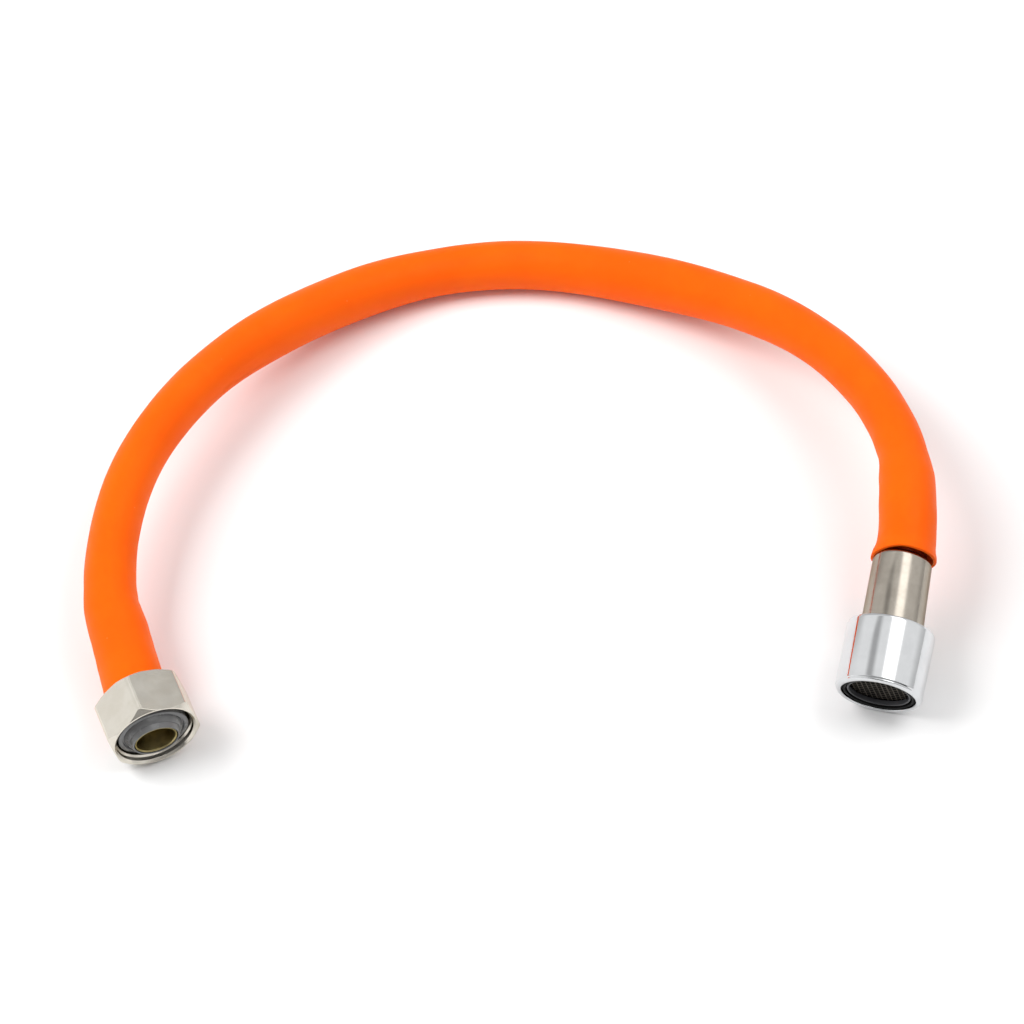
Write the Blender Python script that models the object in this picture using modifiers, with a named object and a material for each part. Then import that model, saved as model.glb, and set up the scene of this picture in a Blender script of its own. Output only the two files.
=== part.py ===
# Faucet extension hose: a stay-put spout with a union nut at one end and an aerator at the other.
# It lies on a table in a wide horseshoe. Metres, +Z up, and the table's surface is Z = 0.

import math

import bmesh
import bpy
from mathutils import Matrix, Vector

MM = 0.001

# General fits
FIT_GAP = 0.3 * MM
SLIDE_GAP = 0.35 * MM
ROUND_STEPS = 40
INNER_STEPS = 24

# Union nut, a G1/2 nut of 24 mm across flats
NUT_ACROSS_FLATS = 24.0 * MM
NUT_LENGTH = 13.8 * MM
NUT_FRONT = 0.8 * MM
NUT_BACK = NUT_FRONT - NUT_LENGTH
NUT_CHAMFER_RADIUS = NUT_ACROSS_FLATS / 2.0 + 0.15 * MM
NUT_FRONT_SLOPE = math.radians(45.0)
NUT_BACK_SLOPE = math.radians(35.0)
NUT_CORNER_BEVEL = 0.35 * MM
NUT_BORE_RADIUS = 10.6 * MM
NUT_RELIEF_RADIUS = NUT_BORE_RADIUS + 0.5 * MM
NUT_RELIEF_END = NUT_FRONT - 1.7 * MM
NUT_MOUTH_RADIUS = NUT_RELIEF_RADIUS + 0.6 * MM
NUT_SHOULDER = NUT_FRONT - 8.0 * MM
NUT_BACK_HOLE_RADIUS = 7.2 * MM
NUT_FACE_CENTRE = Vector((-97.8, -90.3, 13.4)) * MM
NUT_AZIMUTH = math.radians(22.5)
NUT_TILT = math.radians(0.5)
NUT_TURN = math.radians(13.0)

# Hose: water tube, two gooseneck wires and silicone sleeve
SLEEVE_WALL = 1.0 * MM
SLEEVE_SETBACK = 1.2 * MM - NUT_BACK
WATER_TUBE_RADIUS = 3.35 * MM
WATER_TUBE_WALL = 0.65 * MM
COIL_WIRE_RADIUS = 0.55 * MM
COIL_RADIUS = WATER_TUBE_RADIUS + COIL_WIRE_RADIUS + 0.75 * MM
COIL_OUTER_RADIUS = COIL_RADIUS + COIL_WIRE_RADIUS
WEDGE_DEPTH = 0.8 * MM
WEDGE_HALF_WIDTH = 0.75 * MM
COIL_PITCH = 10.5 * MM
COIL_POINTS_PER_TURN = 8
COIL_START = 3.2 * MM
COIL_OVERRUN = 3.5 * MM
TUBE_START = 3.0 * MM
TUBE_OVERRUN = 11.0 * MM
SLEEVE_RINGS = 54
TUBE_RINGS = 40

# Inlet tail, which the loose nut hangs on at a slight angle
TAIL_AZIMUTH = math.radians(20.5)
TAIL_TILT = math.radians(6.0)
TAIL_PIVOT_DEPTH = 3.2 * MM
GASKET_RADIUS = NUT_BORE_RADIUS - 0.65 * MM
GASKET_HOLE_RADIUS = 6.25 * MM
GASKET_FACE = -0.8 * MM
GASKET_THICKNESS = 2.0 * MM
GASKET_BOSS_RADIUS = 8.0 * MM
GASKET_BOSS_TIP_RADIUS = 6.7 * MM
GASKET_BOSS_HEIGHT = 2.7 * MM
FLANGE_RADIUS = NUT_BORE_RADIUS - 1.2 * MM
FLANGE_THICKNESS = 1.6 * MM
FLANGE_FRONT = GASKET_FACE - GASKET_THICKNESS - FIT_GAP
NECK_RADIUS = NUT_BACK_HOLE_RADIUS - 1.3 * MM
SPIGOT_RADIUS = GASKET_HOLE_RADIUS - FIT_GAP
SPIGOT_WALL = 0.65 * MM
SPIGOT_FRONT = GASKET_FACE + GASKET_BOSS_HEIGHT - 0.2 * MM
INLET_MOUTH_RADIUS = SPIGOT_RADIUS - SPIGOT_WALL
INLET_MOUTH_DEPTH = 6.0 * MM
FERRULE_OVER_COIL = 0.45 * MM
INLET_FERRULE_BORE = COIL_OUTER_RADIUS + FERRULE_OVER_COIL
INLET_FERRULE_WALL = 0.85 * MM
INLET_FERRULE_LENGTH = 21.8 * MM
INLET_FERRULE_END = -SLEEVE_SETBACK - INLET_FERRULE_LENGTH
SHANK_RADIUS = INLET_FERRULE_BORE - FERRULE_OVER_COIL
SHANK_END = -SLEEVE_SETBACK - 2.2 * MM
INLET_BARBS_LENGTH = 16.5 * MM

# Barbs on both tails
TAIL_BORE_RADIUS = 1.6 * MM
BARB_RADIUS = WATER_TUBE_RADIUS - WATER_TUBE_WALL - 0.4 * MM
BARB_ROOT_RADIUS = BARB_RADIUS - 0.25 * MM
BARB_PITCH = 5.0 * MM

# Aerator, measured back from its outlet face
OUTLET_FACE_CENTRE = Vector((101.3, -76.5, 11.66)) * MM
OUTLET_AZIMUTH = math.radians(-13.7)
OUTLET_TILT = math.radians(15.0)
HOUSING_LENGTH = 20.0 * MM
HOUSING_BACK_RADIUS = 12.5 * MM
HOUSING_FRONT_RADIUS = HOUSING_BACK_RADIUS - 0.25 * MM
HOUSING_WALL = 1.55 * MM
HOUSING_BORE_RADIUS = HOUSING_BACK_RADIUS - HOUSING_WALL
HOUSING_OPENING_RADIUS = HOUSING_BORE_RADIUS - 0.5 * MM
HOUSING_LIP = 1.2 * MM
HOUSING_CHAMFER = 0.7 * MM
HOUSING_BORE_CHAMFER = 0.4 * MM

# Aerator cartridge, stacked up from the outlet
CARTRIDGE_FRONT = -0.5 * MM
CARTRIDGE_RADIUS = HOUSING_BORE_RADIUS - SLIDE_GAP
CARTRIDGE_NOSE_RADIUS = HOUSING_OPENING_RADIUS - SLIDE_GAP
CARTRIDGE_WALL = 1.3 * MM
CARTRIDGE_BORE = CARTRIDGE_RADIUS - CARTRIDGE_WALL
DISC_RADIUS = CARTRIDGE_BORE - SLIDE_GAP
RING_FRONT = CARTRIDGE_FRONT - 0.4 * MM
RING_THICKNESS = 1.4 * MM
RING_WIDTH = 0.55 * MM
GRID_FRONT = RING_FRONT - RING_THICKNESS - FIT_GAP
GRID_THICKNESS = 1.4 * MM
GRID_PITCH = 2.2 * MM
GRID_BAR = 0.6 * MM
LOWER_SCREEN_FRONT = GRID_FRONT - GRID_THICKNESS - 0.4 * MM
SCREEN_THICKNESS = 0.8 * MM
SCREEN_PITCH = 3.2 * MM
SCREEN_BAR = 0.9 * MM
UPPER_SCREEN_FRONT = LOWER_SCREEN_FRONT - SCREEN_THICKNESS - 1.0 * MM
CARTRIDGE_BACK = UPPER_SCREEN_FRONT - SCREEN_THICKNESS - 1.6 * MM
JET_DISC_FRONT = CARTRIDGE_BACK - FIT_GAP
JET_DISC_THICKNESS = 1.0 * MM
JET_COUNT = 12
JET_RADIUS = 0.55 * MM
JET_CIRCLE = CARTRIDGE_BORE - 1.0 * MM
WASHER_FRONT = JET_DISC_FRONT - JET_DISC_THICKNESS - FIT_GAP
WASHER_THICKNESS = 1.4 * MM
WASHER_WIDTH = 3.4 * MM
DOME_RADIUS = CARTRIDGE_RADIUS - WASHER_WIDTH - 0.8 * MM
DOME_HEIGHT = 2.6 * MM
DOME_WALL = 0.5 * MM

# Outlet tail, which the aerator screws on, and its ferrule
MALE_THREAD_RADIUS = HOUSING_BORE_RADIUS - 0.4 * MM
MALE_THREAD_CHAMFER = 0.6 * MM
MALE_THREAD_FRONT = WASHER_FRONT - WASHER_THICKNESS - FIT_GAP
MALE_THREAD_LENGTH = 7.1 * MM
MALE_THREAD_BACK = MALE_THREAD_FRONT - MALE_THREAD_LENGTH
OUTLET_MOUTH_RADIUS = 7.0 * MM
OUTLET_MOUTH_DEPTH = 3.0 * MM
FERRULE_FRONT = MALE_THREAD_BACK - 0.4 * MM
FERRULE_RADIUS = 8.8 * MM
FERRULE_WALL = 1.05 * MM
FERRULE_BORE = FERRULE_RADIUS - FERRULE_WALL
FERRULE_BODY_LENGTH = 20.6 * MM
FERRULE_SHOULDER_START = FERRULE_FRONT - FERRULE_BODY_LENGTH
FERRULE_SHOULDER_ROUND = 2.4 * MM
FERRULE_NECK_BORE = COIL_OUTER_RADIUS + FERRULE_OVER_COIL
FERRULE_NECK_WALL = 0.7 * MM
FERRULE_NECK_LENGTH = 6.6 * MM
FERRULE_BACK = FERRULE_SHOULDER_START - FERRULE_SHOULDER_ROUND - FERRULE_NECK_LENGTH
OUTLET_SHANK_RADIUS = FERRULE_BORE - SLIDE_GAP
OUTLET_SHANK_LENGTH = 10.5 * MM
OUTLET_SHANK_BACK = MALE_THREAD_BACK - OUTLET_SHANK_LENGTH
OUTLET_BARBS_LENGTH = 16.5 * MM
SLEEVE_END = -FERRULE_SHOULDER_START + 2.5 * MM

# Hose route in millimetres, from the inlet ferrule round the back of the table to the outlet ferrule.
# The points steer a smooth curve, which starts and ends straight along the two ends' axes.
ROUTE_STEP = 18.0 * MM
ROUTE_POINTS = [
    (-112.5, -51.1, 17.5),
    (-114.0, -38.1, 19.0),
    (-113.0, -20.1, 20.0),
    (-109.0, -1.1, 20.5),
    (-101.5, 15.9, 20.0),
    (-92.0, 31.9, 19.0),
    (-80.5, 46.4, 16.5),
    (-67.5, 59.4, 13.5),
    (-53.0, 70.9, 10.5),
    (-37.5, 80.4, 8.5),
    (-20.0, 86.4, 7.5),
    (-1.0, 88.9, 7.5),
    (17.5, 87.4, 7.5),
    (35.0, 82.4, 9.0),
    (52.0, 75.4, 11.5),
    (68.5, 66.4, 14.5),
    (82.5, 55.4, 18.0),
    (94.5, 41.4, 21.5),
    (104.0, 25.4, 24.0),
    (110.5, 8.4, 26.5),
    (113.0, -10.6, 27.0),
]
LAST_STEP = 8.5 * MM

# Sleeve's outer radius along the hose, in millimetres: distance from the nut's end, then radius.
# The loose silicone stands over both ferrules and bunches a little where the hose bends.
SLEEVE_RADII = [
    (0.0, 8.6),
    (20.0, 8.3),
    (27.0, 8.05),
    (36.0, 7.4),
    (52.0, 7.1),
    (86.0, 6.95),
    (116.0, 7.15),
    (148.0, 7.85),
    (178.0, 7.85),
    (206.0, 7.3),
    (234.0, 7.5),
    (275.0, 8.05),
    (304.0, 7.55),
    (335.0, 7.0),
    (372.0, 6.95),
    (386.0, 7.2),
    (396.0, 8.0),
    (412.0, 8.2),
    (420.0, 9.0),
]


# Scene and materials

def clear_scene():
    for old in list(bpy.data.objects):
        bpy.data.objects.remove(old, do_unlink=True)


def make_collection(name):
    collection = bpy.data.collections.new(name)
    bpy.context.scene.collection.children.link(collection)
    return collection


def make_material(name, colour, roughness, metallic):
    material = bpy.data.materials.new(name)
    material.use_nodes = True
    shader = material.node_tree.nodes["Principled BSDF"]
    shader.inputs["Base Color"].default_value = (*colour, 1.0)
    shader.inputs["Roughness"].default_value = roughness
    shader.inputs["Metallic"].default_value = metallic
    material.diffuse_color = (*colour, 1.0)
    return material


# Frames on the pipe ends: +Z leaves the end, +X is level and +Y is up

def end_matrix(origin, azimuth, tilt, turn=0.0):
    outward = Vector((
        math.sin(azimuth) * math.cos(tilt),
        -math.cos(azimuth) * math.cos(tilt),
        -math.sin(tilt),
    ))
    level = Vector((math.cos(azimuth), math.sin(azimuth), 0.0))
    up = outward.cross(level)
    matrix = Matrix((level, up, outward)).transposed().to_4x4()
    matrix.translation = origin
    return matrix @ Matrix.Rotation(turn, 4, "Z")


def make_empty(name, matrix):
    empty = bpy.data.objects.new(name, None)
    empty.empty_display_size = 0.02
    empty.matrix_world = matrix
    parts.objects.link(empty)
    return empty


# Modelling helpers

def add_object(name, mesh, parent, material, collection=None):
    piece = bpy.data.objects.new(name, mesh)
    (collection or parts).objects.link(piece)
    piece.parent = parent
    if material:
        mesh.materials.append(material)
    return piece


def apply_modifiers(piece):
    bpy.context.view_layer.update()
    graph = bpy.context.evaluated_depsgraph_get()
    mesh = bpy.data.meshes.new_from_object(piece.evaluated_get(graph))
    mesh.name = piece.name
    piece.modifiers.clear()
    piece.data = mesh
    return piece


def shade(piece, sharp_degrees=35.0):
    piece.data.shade_smooth()
    piece.data.set_sharp_from_angle(angle=math.radians(sharp_degrees))
    return piece


def turned(name, profile, parent, material, steps=ROUND_STEPS, closed=True, collection=None):
    """Turn a profile of (radius, height) pairs about the parent's Z axis."""
    mesh = bpy.data.meshes.new(name)
    points = [(radius, 0.0, height) for radius, height in profile]
    edges = [(i, i + 1) for i in range(len(points) - 1)]
    if closed:
        edges.append((len(points) - 1, 0))
    mesh.from_pydata(points, edges, [])
    piece = add_object(name, mesh, parent, material, collection)
    screw = piece.modifiers.new("Screw", "SCREW")
    screw.axis = "Z"
    screw.angle = 2.0 * math.pi
    screw.steps = steps
    screw.render_steps = steps
    screw.use_merge_vertices = True
    screw.merge_threshold = 0.00001
    return shade(apply_modifiers(piece))


def round_corner(centre, radius, start_degrees, end_degrees, steps=4):
    """Points of an arc in a profile, from one angle to the other."""
    points = []
    for i in range(steps + 1):
        angle = math.radians(start_degrees + (end_degrees - start_degrees) * i / steps)
        points.append((centre[0] + radius * math.cos(angle), centre[1] + radius * math.sin(angle)))
    return points


def cut(piece, cutter, operation="DIFFERENCE"):
    boolean = piece.modifiers.new("Cut", "BOOLEAN")
    boolean.operation = operation
    boolean.solver = "EXACT"
    boolean.object = cutter
    cutter.hide_render = True
    cutter.display_type = "WIRE"
    return apply_modifiers(piece)


def disc_mesh(name, radius, thickness, top, steps):
    shape = bmesh.new()
    bmesh.ops.create_cone(
        shape, cap_ends=True, segments=steps, radius1=radius, radius2=radius, depth=thickness
    )
    bmesh.ops.translate(shape, verts=shape.verts, vec=(0.0, 0.0, top - thickness / 2.0))
    mesh = bpy.data.meshes.new(name)
    shape.to_mesh(mesh)
    shape.free()
    return mesh


def hole_cutter(name, centres, hole, depth, middle, parent, sides):
    """Square or round punches for one disc, all in one cutter."""
    shape = bmesh.new()
    for x, y in centres:
        made = bmesh.ops.create_cone(
            shape, cap_ends=True, segments=sides, radius1=hole, radius2=hole, depth=depth
        )
        if sides == 4:
            turn = Matrix.Rotation(math.pi / 4.0, 3, "Z")
            bmesh.ops.rotate(shape, verts=made["verts"], matrix=turn)
        bmesh.ops.translate(shape, verts=made["verts"], vec=(x, y, middle))
    mesh = bpy.data.meshes.new(name)
    shape.to_mesh(mesh)
    shape.free()
    return add_object(name, mesh, parent, None, cutters)


def mesh_disc(name, radius, thickness, top, pitch, bar, parent, material):
    """A round grid: square holes on a square pitch with a solid rim."""
    piece = add_object(name, disc_mesh(name, radius, thickness, top, INNER_STEPS), parent, material)
    half_hole = (pitch - bar) / 2.0
    reach = radius - bar
    count = int(reach / pitch)
    centres = []
    for i in range(-count, count + 1):
        for j in range(-count, count + 1):
            corner = math.hypot(abs(i) * pitch + half_hole, abs(j) * pitch + half_hole)
            if corner < reach:
                centres.append((i * pitch, j * pitch))
    punch = hole_cutter(
        name + "_punch", centres, half_hole * math.sqrt(2.0), thickness * 3.0,
        top - thickness / 2.0, parent, 4,
    )
    return cut(piece, punch)


# Hose route

def spline_point(points, position):
    """A point on the smooth curve that four neighbouring route points steer."""
    first = min(int(position), len(points) - 4)
    f = position - first
    weights = (
        (1.0 - f) ** 3 / 6.0,
        (3.0 * f ** 3 - 6.0 * f ** 2 + 4.0) / 6.0,
        (-3.0 * f ** 3 + 3.0 * f ** 2 + 3.0 * f + 1.0) / 6.0,
        f ** 3 / 6.0,
    )
    total = Vector((0.0, 0.0, 0.0))
    for weight, point in zip(weights, points[first:first + 4]):
        total += weight * point
    return total


class Route:
    """The hose's centre line by distance, with a frame that doesn't twist."""

    def __init__(self, points, samples_per_span=24):
        spans = len(points) - 3
        count = spans * samples_per_span
        self.points = [spline_point(points, spans * i / count) for i in range(count + 1)]
        self.distances = [0.0]
        for before, after in zip(self.points, self.points[1:]):
            self.distances.append(self.distances[-1] + (after - before).length)
        self.length = self.distances[-1]
        self.tangents = []
        for i in range(len(self.points)):
            before = self.points[max(i - 1, 0)]
            after = self.points[min(i + 1, count)]
            self.tangents.append((after - before).normalized())
        side = self.tangents[0].cross(Vector((0.0, 0.0, 1.0))).normalized()
        self.sides = [side]
        for before, after in zip(self.tangents, self.tangents[1:]):
            side = before.rotation_difference(after) @ side
            self.sides.append(side.normalized())

    def at(self, distance):
        """Position, tangent and side direction; straight on past either end."""
        inside = min(max(distance, 0.0), self.length)
        low = 0
        high = len(self.distances) - 1
        while high - low > 1:
            middle = (low + high) // 2
            if self.distances[middle] <= inside:
                low = middle
            else:
                high = middle
        share = (inside - self.distances[low]) / (self.distances[high] - self.distances[low])
        tangent = self.tangents[low].lerp(self.tangents[high], share).normalized()
        side = self.sides[low].lerp(self.sides[high], share)
        side = (side - side.dot(tangent) * tangent).normalized()
        position = self.points[low].lerp(self.points[high], share)
        return position + (distance - inside) * tangent, tangent, side


def make_route():
    inlet = tail_frame.matrix_world
    outlet = outlet_frame.matrix_world
    points = []
    for back in (SLEEVE_SETBACK - ROUTE_STEP, SLEEVE_SETBACK, SLEEVE_SETBACK + ROUTE_STEP):
        points.append(inlet @ Vector((0.0, 0.0, -back)))
    points += [Vector(point) * MM for point in ROUTE_POINTS]
    for back in (SLEEVE_END + LAST_STEP, SLEEVE_END, SLEEVE_END - LAST_STEP):
        points.append(outlet @ Vector((0.0, 0.0, -back)))
    return Route(points)


def sleeve_radius(distance):
    """Outer radius of the sleeve, eased from one listed place to the next."""
    place = distance / MM
    for (start, first), (end, last) in zip(SLEEVE_RADII, SLEEVE_RADII[1:]):
        if place <= end:
            share = max(0.0, (place - start) / (end - start))
            eased = share * share * (3.0 - 2.0 * share)
            return (first + (last - first) * eased) * MM
    return SLEEVE_RADII[-1][1] * MM


def hollow_tube(name, distances, radius_at, wall, resolution, material):
    """A tube along the route, open at both ends, with its wall inward."""
    widest = max(radius_at(distance) for distance in distances)
    curve = bpy.data.curves.new(name, "CURVE")
    curve.dimensions = "3D"
    curve.bevel_depth = widest
    curve.bevel_resolution = resolution
    line = curve.splines.new("POLY")
    line.points.add(len(distances) - 1)
    for point, distance in zip(line.points, distances):
        point.co = (*route.at(distance)[0], 1.0)
        point.radius = radius_at(distance) / widest
    source = bpy.data.objects.new(name + "_curve", curve)
    parts.objects.link(source)
    bpy.context.view_layer.update()
    graph = bpy.context.evaluated_depsgraph_get()
    mesh = bpy.data.meshes.new_from_object(source.evaluated_get(graph))
    mesh.name = name
    bpy.data.objects.remove(source, do_unlink=True)
    piece = add_object(name, mesh, None, None)
    mesh.materials.clear()
    mesh.materials.append(material)
    shell = piece.modifiers.new("Wall", "SOLIDIFY")
    shell.thickness = wall
    shell.offset = -1.0
    shell.use_even_offset = True
    return shade(apply_modifiers(piece))


def coil_angles(start, end, pitch, lead):
    """Distance and turn angle of each point of a coil along the route."""
    steps = int((end - start) / pitch * COIL_POINTS_PER_TURN)
    for i in range(steps + 1):
        yield start + (end - start) * i / steps, 2.0 * math.pi * i / COIL_POINTS_PER_TURN + lead


def round_wire(name, start, end, material):
    curve = bpy.data.curves.new(name, "CURVE")
    curve.dimensions = "3D"
    curve.bevel_depth = COIL_WIRE_RADIUS
    curve.bevel_resolution = 0
    curve.use_fill_caps = True
    curve.materials.append(material)
    places = list(coil_angles(start, end, COIL_PITCH, 0.0))
    line = curve.splines.new("POLY")
    line.points.add(len(places) - 1)
    for point, (distance, angle) in zip(line.points, places):
        centre, tangent, side = route.at(distance)
        across = tangent.cross(side)
        offset = COIL_RADIUS * (math.cos(angle) * side + math.sin(angle) * across)
        point.co = (*(centre + offset), 1.0)
    wire = bpy.data.objects.new(name, curve)
    parts.objects.link(wire)
    return wire


def wedge_wire(name, start, end, material):
    """The three-sided wire between the round turns. A curve's bevel would let the wedge roll
    about itself, so its corners are set out from the hose's own centre line."""
    shape = bmesh.new()
    rings = []
    for distance, angle in coil_angles(start, end, COIL_PITCH, math.pi):
        centre, tangent, side = route.at(distance)
        across = tangent.cross(side)
        radial = math.cos(angle) * side + math.sin(angle) * across
        outer = centre + COIL_OUTER_RADIUS * radial
        rings.append([
            shape.verts.new(outer + WEDGE_HALF_WIDTH * tangent),
            shape.verts.new(outer - WEDGE_HALF_WIDTH * tangent),
            shape.verts.new(outer - WEDGE_DEPTH * radial),
        ])
    for before, after in zip(rings, rings[1:]):
        for i in range(3):
            j = (i + 1) % 3
            shape.faces.new((before[i], before[j], after[j], after[i]))
    shape.faces.new(rings[0])
    shape.faces.new(list(reversed(rings[-1])))
    bmesh.ops.recalc_face_normals(shape, faces=shape.faces)
    mesh = bpy.data.meshes.new(name)
    shape.to_mesh(mesh)
    shape.free()
    return add_object(name, mesh, None, material)


# Inlet end

def make_union_nut():
    corner_radius = NUT_ACROSS_FLATS / math.sqrt(3.0)
    shape = bmesh.new()
    bmesh.ops.create_cone(
        shape, cap_ends=True, segments=6, radius1=corner_radius, radius2=corner_radius,
        depth=NUT_LENGTH,
    )
    middle = (NUT_FRONT + NUT_BACK) / 2.0
    bmesh.ops.translate(shape, verts=shape.verts, vec=(0.0, 0.0, middle))
    upright = [e for e in shape.edges if abs(e.verts[0].co.z - e.verts[1].co.z) > NUT_LENGTH / 2.0]
    bmesh.ops.bevel(
        shape, geom=upright, offset=NUT_CORNER_BEVEL, offset_type="OFFSET", segments=2,
        profile=0.5, affect="EDGES",
    )
    mesh = bpy.data.meshes.new("union_nut")
    shape.to_mesh(mesh)
    shape.free()
    nut = add_object("union_nut", mesh, nut_frame, nickel)
    front_drop = (corner_radius - NUT_CHAMFER_RADIUS) * math.tan(NUT_FRONT_SLOPE)
    back_drop = (corner_radius - NUT_CHAMFER_RADIUS) * math.tan(NUT_BACK_SLOPE)
    barrel = turned("nut_chamfer", [
        (0.0, NUT_FRONT),
        (NUT_CHAMFER_RADIUS, NUT_FRONT),
        (corner_radius, NUT_FRONT - front_drop),
        (corner_radius, NUT_BACK + back_drop),
        (NUT_CHAMFER_RADIUS, NUT_BACK),
        (0.0, NUT_BACK),
    ], nut_frame, None, ROUND_STEPS, False, cutters)
    cut(nut, barrel, "INTERSECT")
    mouth_end = NUT_FRONT - (NUT_MOUTH_RADIUS - NUT_RELIEF_RADIUS)
    relief_end = NUT_RELIEF_END - (NUT_RELIEF_RADIUS - NUT_BORE_RADIUS)
    bore = turned("nut_bore", [
        (0.0, NUT_LENGTH),
        (NUT_MOUTH_RADIUS, NUT_LENGTH),
        (NUT_MOUTH_RADIUS, NUT_FRONT),
        (NUT_RELIEF_RADIUS, mouth_end),
        (NUT_RELIEF_RADIUS, NUT_RELIEF_END),
        (NUT_BORE_RADIUS, relief_end),
        (NUT_BORE_RADIUS, NUT_SHOULDER),
        (NUT_BACK_HOLE_RADIUS, NUT_SHOULDER),
        (NUT_BACK_HOLE_RADIUS, -2.0 * NUT_LENGTH),
        (0.0, -2.0 * NUT_LENGTH),
    ], nut_frame, None, ROUND_STEPS, False, cutters)
    cut(nut, bore)
    return shade(nut)


def make_inlet_gasket():
    back = GASKET_FACE - GASKET_THICKNESS
    tip = GASKET_FACE + GASKET_BOSS_HEIGHT
    return turned("inlet_gasket", [
        (GASKET_BOSS_TIP_RADIUS, tip),
        (GASKET_BOSS_RADIUS, GASKET_FACE),
        (GASKET_RADIUS, GASKET_FACE),
        (GASKET_RADIUS, back),
        (GASKET_HOLE_RADIUS, back),
        (GASKET_HOLE_RADIUS, tip),
    ], tail_frame, grey_rubber)


def barb_profile(root, tip):
    """Saw teeth that hold the water tube, between the root and the tip of a tail."""
    points = []
    way = 1.0 if tip > root else -1.0
    count = int(abs(tip - root) / BARB_PITCH)
    for i in range(count):
        start = root + way * i * BARB_PITCH
        points.append((BARB_ROOT_RADIUS, start))
        points.append((BARB_RADIUS, start + way * 0.25 * BARB_PITCH))
        points.append((BARB_RADIUS, start + way * 0.45 * BARB_PITCH))
    points.append((BARB_ROOT_RADIUS, tip))
    return points


def make_inlet_nipple():
    flange_back = FLANGE_FRONT - FLANGE_THICKNESS
    mouth_end = FLANGE_FRONT - INLET_MOUTH_DEPTH
    neck_end = -SLEEVE_SETBACK + FIT_GAP
    tip = SHANK_END - INLET_BARBS_LENGTH
    profile = [
        (SPIGOT_RADIUS, SPIGOT_FRONT),
        (SPIGOT_RADIUS, FLANGE_FRONT),
        (FLANGE_RADIUS, FLANGE_FRONT),
        (FLANGE_RADIUS, flange_back),
        (NECK_RADIUS, flange_back),
        (NECK_RADIUS, neck_end),
        (SHANK_RADIUS, neck_end),
        (SHANK_RADIUS, SHANK_END),
    ]
    profile += barb_profile(SHANK_END, tip)
    profile += [
        (TAIL_BORE_RADIUS, tip),
        (TAIL_BORE_RADIUS, mouth_end),
        (INLET_MOUTH_RADIUS, mouth_end),
        (INLET_MOUTH_RADIUS, SPIGOT_FRONT),
    ]
    return turned("inlet_nipple", profile, tail_frame, brass, INNER_STEPS)


def make_inlet_ferrule():
    front = -SLEEVE_SETBACK
    radius = INLET_FERRULE_BORE + INLET_FERRULE_WALL
    return turned("inlet_ferrule", [
        (radius, front),
        (radius, INLET_FERRULE_END),
        (INLET_FERRULE_BORE, INLET_FERRULE_END),
        (INLET_FERRULE_BORE, front),
    ], tail_frame, satin_steel, INNER_STEPS)


# Hose

def make_hose():
    sleeve_steps = [route.length * i / (SLEEVE_RINGS - 1) for i in range(SLEEVE_RINGS)]
    hollow_tube("silicone_sleeve", sleeve_steps, sleeve_radius, SLEEVE_WALL, 6, orange_silicone)
    coil_end = route.length + COIL_OVERRUN
    round_wire("gooseneck_round_wire", COIL_START, coil_end, bright_wire)
    wedge_wire("gooseneck_wedge_wire", COIL_START, coil_end, bright_wire)
    tube_end = route.length + TUBE_OVERRUN
    tube_steps = []
    for i in range(TUBE_RINGS):
        tube_steps.append(TUBE_START + (tube_end - TUBE_START) * i / (TUBE_RINGS - 1))
    hollow_tube(
        "inner_hose", tube_steps, lambda distance: WATER_TUBE_RADIUS, WATER_TUBE_WALL, 3, cream_tube
    )


# Outlet end

def make_outlet_ferrule():
    drop = FERRULE_SHOULDER_ROUND
    shoulder_end = FERRULE_SHOULDER_START - drop
    neck_radius = FERRULE_NECK_BORE + FERRULE_NECK_WALL
    profile = [(FERRULE_RADIUS, FERRULE_FRONT)]
    profile += round_corner((FERRULE_RADIUS - drop, FERRULE_SHOULDER_START), drop, 0.0, -90.0)
    profile += [
        (neck_radius, shoulder_end),
        (neck_radius, FERRULE_BACK),
        (FERRULE_NECK_BORE, FERRULE_BACK),
        (FERRULE_NECK_BORE, shoulder_end + FERRULE_WALL),
        (FERRULE_BORE, FERRULE_SHOULDER_START + FERRULE_WALL),
        (FERRULE_BORE, FERRULE_FRONT),
    ]
    return turned("outlet_ferrule", profile, outlet_frame, satin_steel)


def make_outlet_nipple():
    mouth_end = MALE_THREAD_FRONT - OUTLET_MOUTH_DEPTH
    tip = OUTLET_SHANK_BACK - OUTLET_BARBS_LENGTH
    profile = [
        (MALE_THREAD_RADIUS - MALE_THREAD_CHAMFER, MALE_THREAD_FRONT),
        (MALE_THREAD_RADIUS, MALE_THREAD_FRONT - MALE_THREAD_CHAMFER),
        (MALE_THREAD_RADIUS, MALE_THREAD_BACK),
        (OUTLET_SHANK_RADIUS, MALE_THREAD_BACK),
        (OUTLET_SHANK_RADIUS, OUTLET_SHANK_BACK),
    ]
    profile += barb_profile(OUTLET_SHANK_BACK, tip)
    profile += [
        (TAIL_BORE_RADIUS, tip),
        (TAIL_BORE_RADIUS, mouth_end),
        (OUTLET_MOUTH_RADIUS, mouth_end),
        (OUTLET_MOUTH_RADIUS, MALE_THREAD_FRONT),
    ]
    return turned("outlet_nipple", profile, outlet_frame, brass, INNER_STEPS)


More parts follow.
